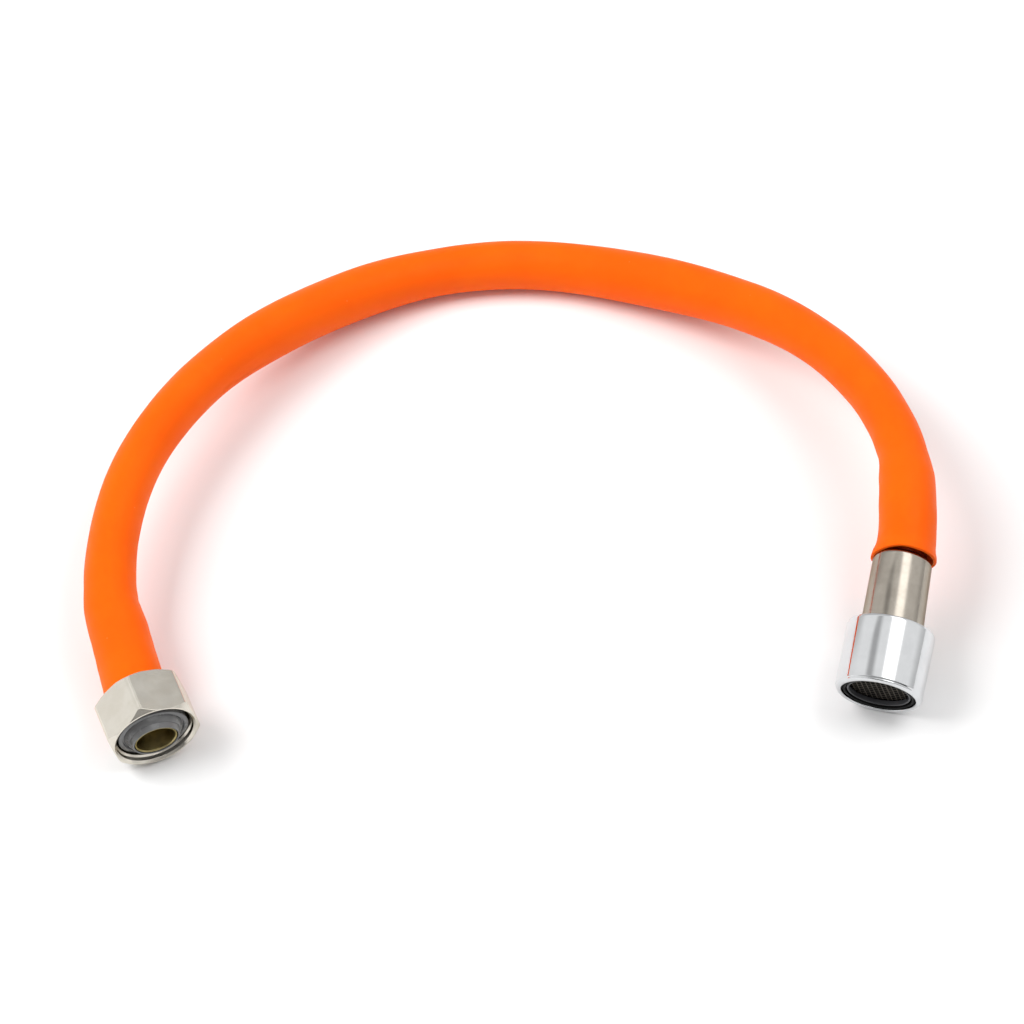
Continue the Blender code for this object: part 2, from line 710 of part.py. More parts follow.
def make_aerator_housing():
    chamfer = HOUSING_CHAMFER
    mouth = HOUSING_BORE_RADIUS + HOUSING_BORE_CHAMFER
    return turned("aerator_housing", [
        (HOUSING_OPENING_RADIUS, 0.0),
        (HOUSING_FRONT_RADIUS - chamfer, 0.0),
        (HOUSING_FRONT_RADIUS, -chamfer),
        (HOUSING_BACK_RADIUS, -HOUSING_LENGTH + chamfer),
        (HOUSING_BACK_RADIUS - chamfer, -HOUSING_LENGTH),
        (mouth, -HOUSING_LENGTH),
        (HOUSING_BORE_RADIUS, -HOUSING_LENGTH + HOUSING_BORE_CHAMFER),
        (HOUSING_BORE_RADIUS, -HOUSING_LIP),
        (HOUSING_OPENING_RADIUS, -HOUSING_LIP),
    ], turn_frame, chrome)


def make_cartridge_body():
    step = -HOUSING_LIP - FIT_GAP
    return turned("cartridge_body", [
        (CARTRIDGE_NOSE_RADIUS, CARTRIDGE_FRONT),
        (CARTRIDGE_NOSE_RADIUS, step),
        (CARTRIDGE_RADIUS, step),
        (CARTRIDGE_RADIUS, CARTRIDGE_BACK),
        (CARTRIDGE_BORE, CARTRIDGE_BACK),
        (CARTRIDGE_BORE, CARTRIDGE_FRONT),
    ], advance_frame, black_plastic)


def make_insert_ring():
    back = RING_FRONT - RING_THICKNESS
    return turned("insert_ring", [
        (DISC_RADIUS, RING_FRONT),
        (DISC_RADIUS, back),
        (DISC_RADIUS - RING_WIDTH, back),
        (DISC_RADIUS - RING_WIDTH, RING_FRONT),
    ], advance_frame, dark_grey_plastic)


def make_jet_disc():
    mesh = disc_mesh("jet_disc", CARTRIDGE_RADIUS, JET_DISC_THICKNESS, JET_DISC_FRONT, ROUND_STEPS)
    disc = add_object("jet_disc", mesh, advance_frame, black_plastic)
    centres = []
    for i in range(JET_COUNT):
        angle = 2.0 * math.pi * i / JET_COUNT
        centres.append((JET_CIRCLE * math.cos(angle), JET_CIRCLE * math.sin(angle)))
    middle = JET_DISC_FRONT - JET_DISC_THICKNESS / 2.0
    punch = hole_cutter(
        "jet_punch", centres, JET_RADIUS, 3.0 * JET_DISC_THICKNESS, middle, advance_frame, 6
    )
    return cut(disc, punch)


def make_aerator_washer():
    back = WASHER_FRONT - WASHER_THICKNESS
    bore = CARTRIDGE_RADIUS - WASHER_WIDTH
    return turned("aerator_washer", [
        (CARTRIDGE_RADIUS, WASHER_FRONT),
        (CARTRIDGE_RADIUS, back),
        (bore, back),
        (bore, WASHER_FRONT),
    ], advance_frame, black_rubber, INNER_STEPS)


def make_filter_dome():
    """A shallow sieve cap on the cartridge's back, open toward the outlet."""
    base = WASHER_FRONT
    steps = 5
    outer = []
    inner = []
    for i in range(steps + 1):
        angle = math.pi / 2.0 * i / steps
        outer.append((DOME_RADIUS * math.cos(angle), base - DOME_HEIGHT * math.sin(angle)))
        inner_radius = DOME_RADIUS - DOME_WALL
        inner_height = DOME_HEIGHT - DOME_WALL
        inner.append((inner_radius * math.cos(angle), base - inner_height * math.sin(angle)))
    outer[-1] = (0.0, outer[-1][1])
    inner[-1] = (0.0, inner[-1][1])
    return turned(
        "filter_dome", list(reversed(inner)) + outer, advance_frame, sieve_steel, INNER_STEPS, False
    )


def make_aerator():
    make_aerator_housing()
    make_cartridge_body()
    make_insert_ring()
    mesh_disc(
        "outlet_grid", DISC_RADIUS, GRID_THICKNESS, GRID_FRONT, GRID_PITCH, GRID_BAR,
        advance_frame, black_plastic,
    )
    for name, top in (("lower_screen", LOWER_SCREEN_FRONT), ("upper_screen", UPPER_SCREEN_FRONT)):
        mesh_disc(
            name, DISC_RADIUS, SCREEN_THICKNESS, top, SCREEN_PITCH, SCREEN_BAR,
            advance_frame, sieve_steel,
        )
    make_jet_disc()
    make_aerator_washer()
    make_filter_dome()


# Build

clear_scene()
parts = make_collection("faucet_extension_hose")
cutters = make_collection("cutters")

orange_silicone = make_material("orange_silicone", (1.0, 0.13, 0.005), 0.5, 0.0)
nickel = make_material("nickel_plated_brass", (0.62, 0.58, 0.50), 0.28, 1.0)
chrome = make_material("chrome_plated_brass", (0.80, 0.81, 0.83), 0.08, 1.0)
satin_steel = make_material("satin_steel", (0.52, 0.49, 0.43), 0.30, 1.0)
bright_wire = make_material("gooseneck_wire", (0.60, 0.60, 0.60), 0.25, 1.0)
sieve_steel = make_material("sieve_steel", (0.45, 0.45, 0.44), 0.35, 1.0)
brass = make_material("brass", (0.42, 0.31, 0.13), 0.30, 1.0)
grey_rubber = make_material("grey_rubber", (0.16, 0.16, 0.16), 0.45, 0.0)
black_rubber = make_material("black_rubber", (0.02, 0.02, 0.02), 0.60, 0.0)
black_plastic = make_material("black_plastic", (0.01, 0.01, 0.01), 0.40, 0.0)
dark_grey_plastic = make_material("dark_grey_plastic", (0.06, 0.06, 0.06), 0.40, 0.0)
cream_tube = make_material("cream_tube", (0.75, 0.68, 0.48), 0.40, 0.0)

nut_frame = make_empty("nut_axis", end_matrix(NUT_FACE_CENTRE, NUT_AZIMUTH, NUT_TILT, NUT_TURN))
pivot = nut_frame.matrix_world @ Vector((0.0, 0.0, -TAIL_PIVOT_DEPTH))
tail_matrix = end_matrix(pivot, TAIL_AZIMUTH, TAIL_TILT)
tail_matrix.translation = tail_matrix @ Vector((0.0, 0.0, TAIL_PIVOT_DEPTH))
tail_frame = make_empty("inlet_axis", tail_matrix)
outlet_matrix = end_matrix(OUTLET_FACE_CENTRE, OUTLET_AZIMUTH, OUTLET_TILT)
outlet_frame = make_empty("outlet_axis", outlet_matrix)
advance_frame = make_empty("aerator_advance_axis", outlet_matrix)
turn_frame = make_empty("aerator_turn_axis", outlet_matrix)
bpy.context.view_layer.update()
route = make_route()

make_union_nut()
make_inlet_gasket()
make_inlet_nipple()
make_inlet_ferrule()
make_hose()
make_outlet_ferrule()
make_outlet_nipple()
make_aerator()
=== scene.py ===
# Faucet extension hose lying on a white table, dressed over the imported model
import math

import bmesh
import bpy
from mathutils import Matrix, Vector, noise


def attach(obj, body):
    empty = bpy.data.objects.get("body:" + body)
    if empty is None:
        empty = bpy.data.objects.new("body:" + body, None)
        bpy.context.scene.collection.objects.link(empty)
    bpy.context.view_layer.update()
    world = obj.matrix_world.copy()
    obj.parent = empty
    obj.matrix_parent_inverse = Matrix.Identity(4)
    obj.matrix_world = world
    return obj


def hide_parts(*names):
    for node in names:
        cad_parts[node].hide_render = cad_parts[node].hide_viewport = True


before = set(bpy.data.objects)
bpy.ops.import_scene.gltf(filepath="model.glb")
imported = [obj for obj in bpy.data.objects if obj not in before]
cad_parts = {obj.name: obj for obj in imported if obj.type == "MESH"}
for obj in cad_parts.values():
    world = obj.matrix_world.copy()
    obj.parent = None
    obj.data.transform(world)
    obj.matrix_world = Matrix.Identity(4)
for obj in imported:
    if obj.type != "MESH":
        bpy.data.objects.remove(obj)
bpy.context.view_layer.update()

mm = 0.001
collection = bpy.context.scene.collection
print("stage 1: packed model loaded")


# Pipe ends, as in the part: centres in millimetres, angles in degrees
endSettings = {
    "nutCentre": (-97.8, -90.3, 13.4), "nutAzimuth": 22.5, "nutTilt": 0.5, "nutTurn": 13.0,
    # the tail sits askew in the nut, about a point this far behind the nut's centre
    "tailSeat": 3.2, "tailAzimuth": 20.5, "tailTilt": 6.0,
    "outletCentre": (101.3, -76.5, 11.66), "outletAzimuth": -13.7, "outletTilt": 15.0,
}


def endPlace(centre, azimuth, tilt, turn=0.0):
    # +Z leaves the end, +X is level and +Y is up
    azimuth, tilt = math.radians(azimuth), math.radians(tilt)
    outward = Vector((
        math.sin(azimuth) * math.cos(tilt), -math.cos(azimuth) * math.cos(tilt), -math.sin(tilt)))
    level = Vector((math.cos(azimuth), math.sin(azimuth), 0.0))
    place = Matrix((level, outward.cross(level), outward)).transposed().to_4x4()
    place.translation = centre
    return place @ Matrix.Rotation(math.radians(turn), 4, "Z")


def makeEnds(s):
    nutEnd = endPlace(Vector(s["nutCentre"]) * mm, s["nutAzimuth"], s["nutTilt"], s["nutTurn"])
    seat = Vector((0.0, 0.0, s["tailSeat"] * mm))
    tailEnd = endPlace(nutEnd @ -seat, s["tailAzimuth"], s["tailTilt"])
    tailEnd.translation = tailEnd @ seat
    outletEnd = endPlace(Vector(s["outletCentre"]) * mm, s["outletAzimuth"], s["outletTilt"])
    return nutEnd, tailEnd, outletEnd


nutPlace, tailPlace, outletPlace = makeEnds(endSettings)

# Camera, at the photograph's angle
cameraSettings = {
    "lens": 116.0, "sensor": 36.0, "elevation": 52.0, "distance": 0.968,
    "aim": (0.0, -0.0026, 0.0), "near": 0.01, "far": 20.0,
}


def makeCamera(s):
    data = bpy.data.cameras.new("camera")
    data.lens = s["lens"]
    data.sensor_width = s["sensor"]
    data.clip_start = s["near"]
    data.clip_end = s["far"]
    camera = bpy.data.objects.new("camera", data)
    rise = math.radians(s["elevation"])
    back = Vector((0.0, -math.cos(rise), math.sin(rise))) * s["distance"]
    camera.location = Vector(s["aim"]) + back
    camera.rotation_euler = (math.pi / 2.0 - rise, 0.0, 0.0)
    collection.objects.link(camera)
    bpy.context.scene.camera = camera


makeCamera(cameraSettings)
print("stage 2: camera set")


# Mesh helpers
def finishMesh(name, bm, place=None, smoothBelow=40.0):
    if place is not None:
        bmesh.ops.transform(bm, matrix=place, verts=bm.verts)
    mesh = bpy.data.meshes.new(name)
    bm.to_mesh(mesh)
    bm.free()
    mesh.shade_smooth()
    mesh.set_sharp_from_angle(angle=math.radians(smoothBelow))
    piece = bpy.data.objects.new(name, mesh)
    collection.objects.link(piece)
    return piece


def roundEdges(bm, width, segments=3, over=24.0):
    # softens every edge that turns by more than the angle
    sharp = [e for e in bm.edges
             if len(e.link_faces) == 2 and e.calc_face_angle(0.0) > math.radians(over)]
    if sharp:
        bmesh.ops.bevel(bm, geom=sharp, offset=width * mm, offset_type="OFFSET",
                        segments=segments, profile=0.5, affect="EDGES", material=-1,
                        clamp_overlap=True)


def turnedBm(profile, steps, closed=True):
    # a profile of radius and height in millimetres, spun about Z
    bm = bmesh.new()
    corners = [bm.verts.new((radius * mm, 0.0, height * mm)) for radius, height in profile]
    line = [bm.edges.new(pair) for pair in zip(corners, corners[1:])]
    if closed:
        line.append(bm.edges.new((corners[-1], corners[0])))
    bmesh.ops.spin(bm, geom=corners + line, cent=(0, 0, 0), axis=(0, 0, 1),
                   angle=2.0 * math.pi, steps=steps, use_merge=True)
    bmesh.ops.remove_doubles(bm, verts=bm.verts, dist=1e-7)
    bmesh.ops.recalc_face_normals(bm, faces=bm.faces)
    return bm


def turnedPiece(name, s, place):
    bm = turnedBm(s["profile"], s["steps"])
    roundEdges(bm, s["edge"])
    return finishMesh(name, bm, place)


def threadRidge(name, s, place, flank=0.42, steps=72):
    # one helical ridge from a small closed triangle
    bm = bmesh.new()
    half = s["threadPitch"] * flank
    outline = ((s["threadRoot"], half), (s["threadCrest"], 0.0), (s["threadRoot"], -half))
    corners = [bm.verts.new((r * mm, 0.0, (s["threadTop"] + z) * mm)) for r, z in outline]
    line = [bm.edges.new((corners[i], corners[(i + 1) % 3])) for i in range(3)]
    bm.faces.new(corners)
    turns = s["threadTurns"]
    count = int(steps * turns)
    swept = bmesh.ops.spin(bm, geom=corners + line, cent=(0, 0, 0), axis=(0, 0, 1),
                           angle=2.0 * math.pi * turns, steps=count,
                           dvec=(0, 0, -s["threadPitch"] * turns / count * mm))
    bm.faces.new([v for v in swept["geom_last"] if isinstance(v, bmesh.types.BMVert)])
    bmesh.ops.remove_doubles(bm, verts=bm.verts, dist=1e-7)
    bmesh.ops.recalc_face_normals(bm, faces=bm.faces)
    return finishMesh(name, bm, place, 50.0)


def useMaterial(piece, *materials):
    piece.data.materials.clear()
    for material in materials:
        piece.data.materials.append(material)


def settle(piece, body, slotName, *nodes):
    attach(piece, body)
    if nodes:
        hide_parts(*nodes)


# Hose route: the part's own points in metres, and its first and last ones in millimetres
# behind the tail and the outlet
routePoints = [
    (-0.1125, -0.0511, 0.0175), (-0.1140, -0.0381, 0.0190), (-0.1130, -0.0201, 0.0200),
    (-0.1090, -0.0011, 0.0205), (-0.1015, 0.0159, 0.0200), (-0.0920, 0.0319, 0.0190),
    (-0.0805, 0.0464, 0.0165), (-0.0675, 0.0594, 0.0135), (-0.0530, 0.0709, 0.0105),
    (-0.0375, 0.0804, 0.0085), (-0.0200, 0.0864, 0.0075), (-0.0010, 0.0889, 0.0075),
    (0.0175, 0.0874, 0.0075), (0.0350, 0.0824, 0.0090), (0.0520, 0.0754, 0.0115),
    (0.0685, 0.0664, 0.0145), (0.0825, 0.0554, 0.0180), (0.0945, 0.0414, 0.0215),
    (0.1040, 0.0254, 0.0240), (0.1105, 0.0084, 0.0265), (0.1130, -0.0106, 0.0270),
]
routeEnds = {"inletBack": (-3.8, 14.2, 32.2), "outletBack": (51.0, 42.5, 34.0)}


def makeRoute(samples=24):
    points = [tailPlace @ Vector((0.0, 0.0, -back * mm)) for back in routeEnds["inletBack"]]
    points += [Vector(p) for p in routePoints]
    points += [outletPlace @ Vector((0.0, 0.0, -back * mm)) for back in routeEnds["outletBack"]]
    spans = len(points) - 3
    line = []
    for i in range(spans * samples + 1):
        first = min(i // samples, spans - 1)
        f = i / samples - first
        weights = ((1 - f) ** 3 / 6, (3 * f ** 3 - 6 * f ** 2 + 4) / 6,
                   (-3 * f ** 3 + 3 * f ** 2 + 3 * f + 1) / 6, f ** 3 / 6)
        line.append(sum((w * p for w, p in zip(weights, points[first:first + 4])), Vector()))
    stops = [0.0]
    for a, b in zip(line, line[1:]):
        stops.append(stops[-1] + (b - a).length)
    tangents = [(line[min(i + 1, len(line) - 1)] - line[max(i - 1, 0)]).normalized()
                for i in range(len(line))]
    sides = [tangents[0].cross(Vector((0.0, 0.0, 1.0))).normalized()]
    for a, b in zip(tangents, tangents[1:]):
        sides.append((a.rotation_difference(b) @ sides[-1]).normalized())
    return {"line": line, "stops": stops, "tangents": tangents, "sides": sides,
            "length": stops[-1]}


def routeAt(route, distance):
    # point, tangent, side and across; straight on past either end
    inside = min(max(distance, 0.0), route["length"])
    stops = route["stops"]
    low, high = 0, len(stops) - 1
    while high - low > 1:
        middle = (low + high) // 2
        low, high = (middle, high) if stops[middle] <= inside else (low, middle)
    share = (inside - stops[low]) / (stops[high] - stops[low])
    tangent = route["tangents"][low].lerp(route["tangents"][high], share).normalized()
    side = route["sides"][low].lerp(route["sides"][high], share)
    side = (side - side.dot(tangent) * tangent).normalized()
    point = route["line"][low].lerp(route["line"][high], share)
    return point + (distance - inside) * tangent, tangent, side, tangent.cross(side)


route = makeRoute()


def ringPlace(distance, radius):
    # where a ring of the hose stands, scaled to its radius
    point, tangent, side, across = routeAt(route, distance)
    place = Matrix((side * radius, across * radius, tangent)).transposed().to_4x4()
    place.translation = point
    return place


def growTube(bm, sides, rings, start, end, radiusAt, coord=None):
    # extrudes a circle along the hose; coord keeps each corner's direction and distance
    lastPlace = ringPlace(start, radiusAt(start))
    ring = bmesh.ops.create_circle(bm, segments=sides, radius=1.0)["verts"]
    if coord is not None:
        for v in ring:
            v[coord] = (v.co.x, v.co.y, start)
    bmesh.ops.transform(bm, matrix=lastPlace, verts=ring)
    rim = list(bm.edges)
    for i in range(1, rings + 1):
        distance = start + (end - start) * i / rings
        made = bmesh.ops.extrude_edge_only(bm, edges=rim)["geom"]
        ring = [g for g in made if isinstance(g, bmesh.types.BMVert)]
        rim = [g for g in made if isinstance(g, bmesh.types.BMEdge)]
        nextPlace = ringPlace(distance, radiusAt(distance))
        bmesh.ops.transform(bm, matrix=nextPlace @ lastPlace.inverted(), verts=ring)
        lastPlace = nextPlace
        if coord is not None:
            for v in ring:
                v[coord].z = distance


# Silicone sleeve: distance from the nut's end and outer radius, in millimetres
sleeveSettings = {
    "radii": [
        (0.0, 8.6), (20.0, 8.3), (27.0, 8.05), (36.0, 7.4), (52.0, 7.1), (86.0, 6.95),
        (116.0, 7.15), (148.0, 7.85), (178.0, 7.85), (206.0, 7.3), (234.0, 7.5), (275.0, 8.05),
        (304.0, 7.55), (335.0, 7.0), (372.0, 6.95), (386.0, 7.2), (396.0, 8.05), (404.0, 8.2),
        (412.0, 8.2), (417.0, 8.35), (420.0, 9.05),
    ],
    "wall": 1.0, "rings": 340, "sides": 72, "rimRound": 0.22,
    # distance, angle in degrees from the hose's own side, depth and reach of each pinched crease
    "creases": [(29.0, 0.0, 0.55, 4.0), (385.0, 0.0, 0.35, 5.0)],
    "creaseFade": 1.6, "creaseFocus": 1.5,
    # scale round and along the hose, shift and height of the loose skin's unevenness
    "slack": [(1.1, 55.0, 0.0, 0.05), (2.6, 150.0, 7.0, 0.02)],
    # how far the loose skin sits to the left of the hose's own line
    "slips": [
        (0.0, 1.1), (5.0, 0.65), (10.0, 0.4), (15.0, 0.05), (20.0, -0.25), (30.0, -0.2),
        (60.0, -0.15), (330.0, -0.15), (340.0, -0.25), (361.0, -0.28), (370.0, -0.12),
        (378.0, -0.26), (388.0, -0.24), (394.0, -0.02), (405.0, 0.6), (412.0, 0.72),
        (420.0, 0.62),
    ],
    # the mouth over the outlet ferrule is pulled on further at its left side
    "mouthReach": 5.0, "mouthSpread": 0.2, "mouthPull": 1.9,
    # and gapes a little at its upper right, this far to the right and up
    "mouthGape": 0.5, "gapeToward": (0.6, 0.8),
}


def easedValue(table, distance):
    # a value eased from one listed distance to the next, all in millimetres
    place = distance / mm
    for (start, first), (end, last) in zip(table, table[1:]):
        if place <= end:
            share = max(0.0, (place - start) / (end - start))
            return (first + (last - first) * share * share * (3.0 - 2.0 * share)) * mm
    return table[-1][1] * mm


def makeSleeve(s):
    bm = bmesh.new()
    hoseCoord = bm.verts.layers.float_vector.new("hoseCoord")
    growTube(bm, s["sides"], s["rings"], 0.0, route["length"],
             lambda distance: easedValue(s["radii"], distance), hoseCoord)
    rightward = outletPlace.col[0].xyz
    gapeRight, gapeUp = s["gapeToward"]
    gapeWay = (rightward * gapeRight + outletPlace.col[1].xyz * gapeUp).normalized()
    for v in bm.verts:
        x, y, distance = v[hoseCoord]
        _, tangent, side, across = routeAt(route, distance)
        outward = (side * x + across * y).normalized()
        push = 0.0
        for scale, along, shift, height in s["slack"]:
            push += noise.noise(Vector((x * scale, y * scale, distance * along + shift))) * height
        for start, angle, depth, reach in s["creases"]:
            facing = x * math.cos(math.radians(angle)) + y * math.sin(math.radians(angle))
            away = abs(distance / mm - start) / reach
            push -= depth * math.exp(-away * s["creaseFade"]) * max(0.0, facing) ** s["creaseFocus"]
        v.co += outward * push * mm
        v.co.x -= easedValue(s["slips"], distance)
        nearEnd = max(0.0, 1.0 - (route["length"] - distance) / (s["mouthReach"] * mm))
        leftward = max(0.0, -outward.dot(rightward))
        v.co += outward * nearEnd ** 2 * leftward ** 2 * s["mouthSpread"] * mm
        v.co += tangent * nearEnd ** 2 * leftward ** 1.5 * s["mouthPull"] * mm
        upRight = max(0.0, outward.dot(gapeWay))
        v.co += outward * nearEnd ** 1.5 * upRight ** 2 * s["mouthGape"] * mm
    bmesh.ops.recalc_face_normals(bm, faces=bm.faces)
    sleeve = finishMesh("sleeveSkin", bm, None, 60.0)
    wall = sleeve.modifiers.new("wall", "SOLIDIFY")
    wall.thickness = s["wall"] * mm
    wall.offset = -1.0
    wall.use_even_offset = True
    rim = sleeve.modifiers.new("rim", "BEVEL")
    rim.width = s["rimRound"] * mm
    rim.segments = 3
    rim.limit_method = "ANGLE"
    rim.angle_limit = math.radians(55.0)
    return sleeve


sleeve = makeSleeve(sleeveSettings)
settle(sleeve, "hose", "orange_silicone", "silicone_sleeve")
print("stage 3: sleeve made,", len(sleeve.data.polygons), "faces")

# Water tube and the two wound wires inside the sleeve
coreSettings = {
    "tubeRadius": 3.35, "tubeWall": 0.65, "tubeStart": 3.0, "tubeOver": 11.0,
    "tubeSides": 20, "tubeRings": 120,
    "coilRadius": 4.65, "wireRadius": 0.55, "pitch": 3.0, "coilStart": 3.2, "coilOver": 3.5,
    "wedgeCoil": 4.78, "wedgeRadius": 0.42, "pointsPerTurn": 14,
}


def makeWaterTube(s):
    bm = bmesh.new()
    growTube(bm, s["tubeSides"], s["tubeRings"], s["tubeStart"] * mm,
             route["length"] + s["tubeOver"] * mm, lambda distance: s["tubeRadius"] * mm)
    bmesh.ops.recalc_face_normals(bm, faces=bm.faces)
    tube = finishMesh("waterTube", bm, None, 60.0)
    wall = tube.modifiers.new("wall", "SOLIDIFY")
    wall.thickness = s["tubeWall"] * mm
    wall.offset = -1.0
    return tube


def makeWoundWire(name, s, radius, thick, lead):
    data = bpy.data.curves.new(name, "CURVE")
    data.dimensions = "3D"
    data.bevel_depth = thick * mm
    data.bevel_resolution = 1
    data.use_fill_caps = True
    start = s["coilStart"] * mm
    end = route["length"] + s["coilOver"] * mm
    turns = (end - start) / (s["pitch"] * mm)
    count = int(turns * s["pointsPerTurn"])
    line = data.splines.new("POLY")
    line.points.add(count)
    for i, spot in enumerate(line.points):
        point, _, side, across = routeAt(route, start + (end - start) * i / count)
        angle = 2.0 * math.pi * i / s["pointsPerTurn"] + lead
        offset = (side * math.cos(angle) + across * math.sin(angle)) * radius * mm
        spot.co = (*(point + offset), 1.0)
    coil = bpy.data.objects.new(name + "Line", data)
    mesh = bpy.data.meshes.new_from_object(coil)
    mesh.name = name
    bpy.data.objects.remove(coil)
    bpy.data.curves.remove(data)
    wire = bpy.data.objects.new(name, mesh)
    collection.objects.link(wire)
    return wire


waterTube = makeWaterTube(coreSettings)
settle(waterTube, "hose", "cream_tube", "inner_hose")
roundWire = makeWoundWire("woundRoundWire", coreSettings, coreSettings["coilRadius"],
                          coreSettings["wireRadius"], 0.0)
settle(roundWire, "hose", "gooseneck_wire", "gooseneck_round_wire")
wedgeWire = makeWoundWire("woundWedgeWire", coreSettings, coreSettings["wedgeCoil"],
                          coreSettings["wedgeRadius"], math.pi)
settle(wedgeWire, "hose", "gooseneck_wire", "gooseneck_wedge_wire")
print("stage 4: hose core made")

# Union nut
nutSettings = {
    "acrossFlats": 24.0, "front": 0.8, "back": -13.0, "cornerBevel": 1.0, "chamferRadius": 12.15,
    "frontSlope": 45.0, "backSlope": 35.0, "bore": 10.6, "relief": 11.1, "reliefEnd": -0.9,
    "mouth": 11.7, "shoulder": -7.2, "backHole": 7.2, "edge": 0.18, "steps": 96,
    "threadRoot": 10.7, "threadCrest": 10.33, "threadTop": -2.3, "threadPitch": 1.81,
    "threadTurns": 2.6,
}


def booleanMesh(base, tool, operation):
    change = base.modifiers.new("shape", "BOOLEAN")
    change.operation = operation
    change.solver = "EXACT"
    change.object = tool
    graph = bpy.context.evaluated_depsgraph_get()
    mesh = bpy.data.meshes.new_from_object(base.evaluated_get(graph))
    base.modifiers.clear()
    base.data = mesh
    bpy.data.objects.remove(tool, do_unlink=True)


def makeNut(s):
    corner = s["acrossFlats"] / math.sqrt(3.0)
    bm = bmesh.new()
    bmesh.ops.create_cone(bm, cap_ends=True, segments=6, radius1=corner * mm,
                          radius2=corner * mm, depth=(s["front"] - s["back"]) * mm)
    bmesh.ops.translate(bm, verts=bm.verts, vec=(0, 0, (s["front"] + s["back"]) * mm / 2.0))
    upright = [e for e in bm.edges if abs(e.verts[0].co.z - e.verts[1].co.z) > mm]
    bmesh.ops.bevel(bm, geom=upright, offset=s["cornerBevel"] * mm, offset_type="OFFSET",
                    segments=4, profile=0.5, affect="EDGES", material=-1)
    body = finishMesh("unionNutBody", bm)
    outer = corner + 0.2  # clear of the corners
    reach = outer - s["chamferRadius"]
    frontDrop = reach * math.tan(math.radians(s["frontSlope"]))
    backDrop = reach * math.tan(math.radians(s["backSlope"]))
    barrel = finishMesh("nutBarrel", turnedBm([
        (0.0, s["front"]), (s["chamferRadius"], s["front"]),
        (outer, s["front"] - frontDrop), (outer, s["back"] + backDrop),
        (s["chamferRadius"], s["back"]), (0.0, s["back"]),
    ], s["steps"], False))
    booleanMesh(body, barrel, "INTERSECT")
    beyond = 20.0  # the cutter stands out at both ends
    bore = finishMesh("nutBore", turnedBm([
        (0.0, beyond), (s["mouth"], beyond), (s["mouth"], s["front"]),
        (s["relief"], s["front"] - s["mouth"] + s["relief"]), (s["relief"], s["reliefEnd"]),
        (s["bore"], s["reliefEnd"] - s["relief"] + s["bore"]), (s["bore"], s["shoulder"]),
        (s["backHole"], s["shoulder"]), (s["backHole"], -beyond), (0.0, -beyond),
    ], s["steps"], False))
    booleanMesh(body, bore, "DIFFERENCE")
    bm = bmesh.new()
    bm.from_mesh(body.data)
    bpy.data.objects.remove(body, do_unlink=True)
    bmesh.ops.remove_doubles(bm, verts=bm.verts, dist=2e-6)
    bmesh.ops.dissolve_limit(bm, angle_limit=math.radians(1.0), verts=bm.verts, edges=bm.edges)
    roundEdges(bm, s["edge"], 2, 20.0)
    nut = finishMesh("unionNutShell", bm, nutPlace, 40.0)
    even = nut.modifiers.new("evenShade", "WEIGHTED_NORMAL")
    even.keep_sharp = True
    return nut


nut = makeNut(nutSettings)
settle(nut, "nut", "nickel_plated_brass", "union_nut")
nutThread = threadRidge("nutThread", nutSettings, nutPlace)
settle(nutThread, "nut", "nickel_plated_brass")

# Inlet seal, tail and ferrule
sealSettings = {
    "outer": 9.95, "hole": 6.25, "back": -2.8, "face": -0.8, "tip": 1.9, "steps": 128,
}


def makeSeal(s):
    # a flat rim, a groove, a sloping lip and a raised boss round the hole
    bm = turnedBm([
        (s["outer"], s["face"] - 0.1), (s["outer"] - 0.25, s["face"]),
        (8.85, s["face"]), (8.62, s["face"] - 0.4), (8.4, s["face"] - 0.36),
        (8.22, s["face"] + 0.12), (7.5, 0.42), (7.38, 0.54), (7.2, 0.5),
        (6.72, 1.68), (6.58, s["tip"]), (s["hole"] + 0.08, s["tip"]), (s["hole"], s["tip"] - 0.1),
        (s["hole"], s["back"]), (s["outer"], s["back"]),
    ], s["steps"])
    return finishMesh("inletSeal", bm, tailPlace, 30.0)


seal = makeSeal(sealSettings)
settle(seal, "hose", "grey_rubber", "inlet_gasket")

barbSettings = {"count": 3, "pitch": 5.0, "low": 2.05, "high": 2.3, "rise": 1.25, "flat": 1.0}


def barbProfile(s, top):
    # the barbs that hold the water tube, from the top down
    profile = []
    for i in range(s["count"]):
        foot = top - i * s["pitch"]
        profile += [(s["low"], foot), (s["high"], foot - s["rise"]),
                    (s["high"], foot - s["rise"] - s["flat"])]
    return profile


inletTailSettings = {
    "profile": [
        (5.95, 1.7), (5.95, -3.1), (9.4, -3.1), (9.4, -4.7), (5.9, -4.7), (5.9, -13.9),
        (5.2, -13.9), (5.2, -16.4), *barbProfile(barbSettings, -16.4), (2.05, -32.9),
        (1.6, -32.9), (1.6, -9.1), (5.5, -9.1), (5.5, 1.45), (5.72, 1.7),
    ],
    "steps": 128, "edge": 0.06, "highlightRimAbove": 1.6,
}


def makeInletTail(s):
    bm = turnedBm(s["profile"], s["steps"])
    roundEdges(bm, s["edge"])
    for face in bm.faces:  # the rim round the water way takes pale nickel, a painted highlight along its edge
        if face.calc_center_median().z > s["highlightRimAbove"] * mm:
            face.material_index = 1
    return finishMesh("inletTail", bm, tailPlace)


inletTail = makeInletTail(inletTailSettings)
settle(inletTail, "hose", "brass", "inlet_nipple")

inletFerruleSettings = {
    "profile": [(6.5, -14.2), (6.5, -36.0), (5.65, -36.0), (5.65, -14.2)],
    "steps": 64, "edge": 0.15,
}
inletFerrule = turnedPiece("inletFerrule", inletFerruleSettings, tailPlace)
settle(inletFerrule, "hose", "satin_steel", "inlet_ferrule")
print("stage 5: inlet end made")

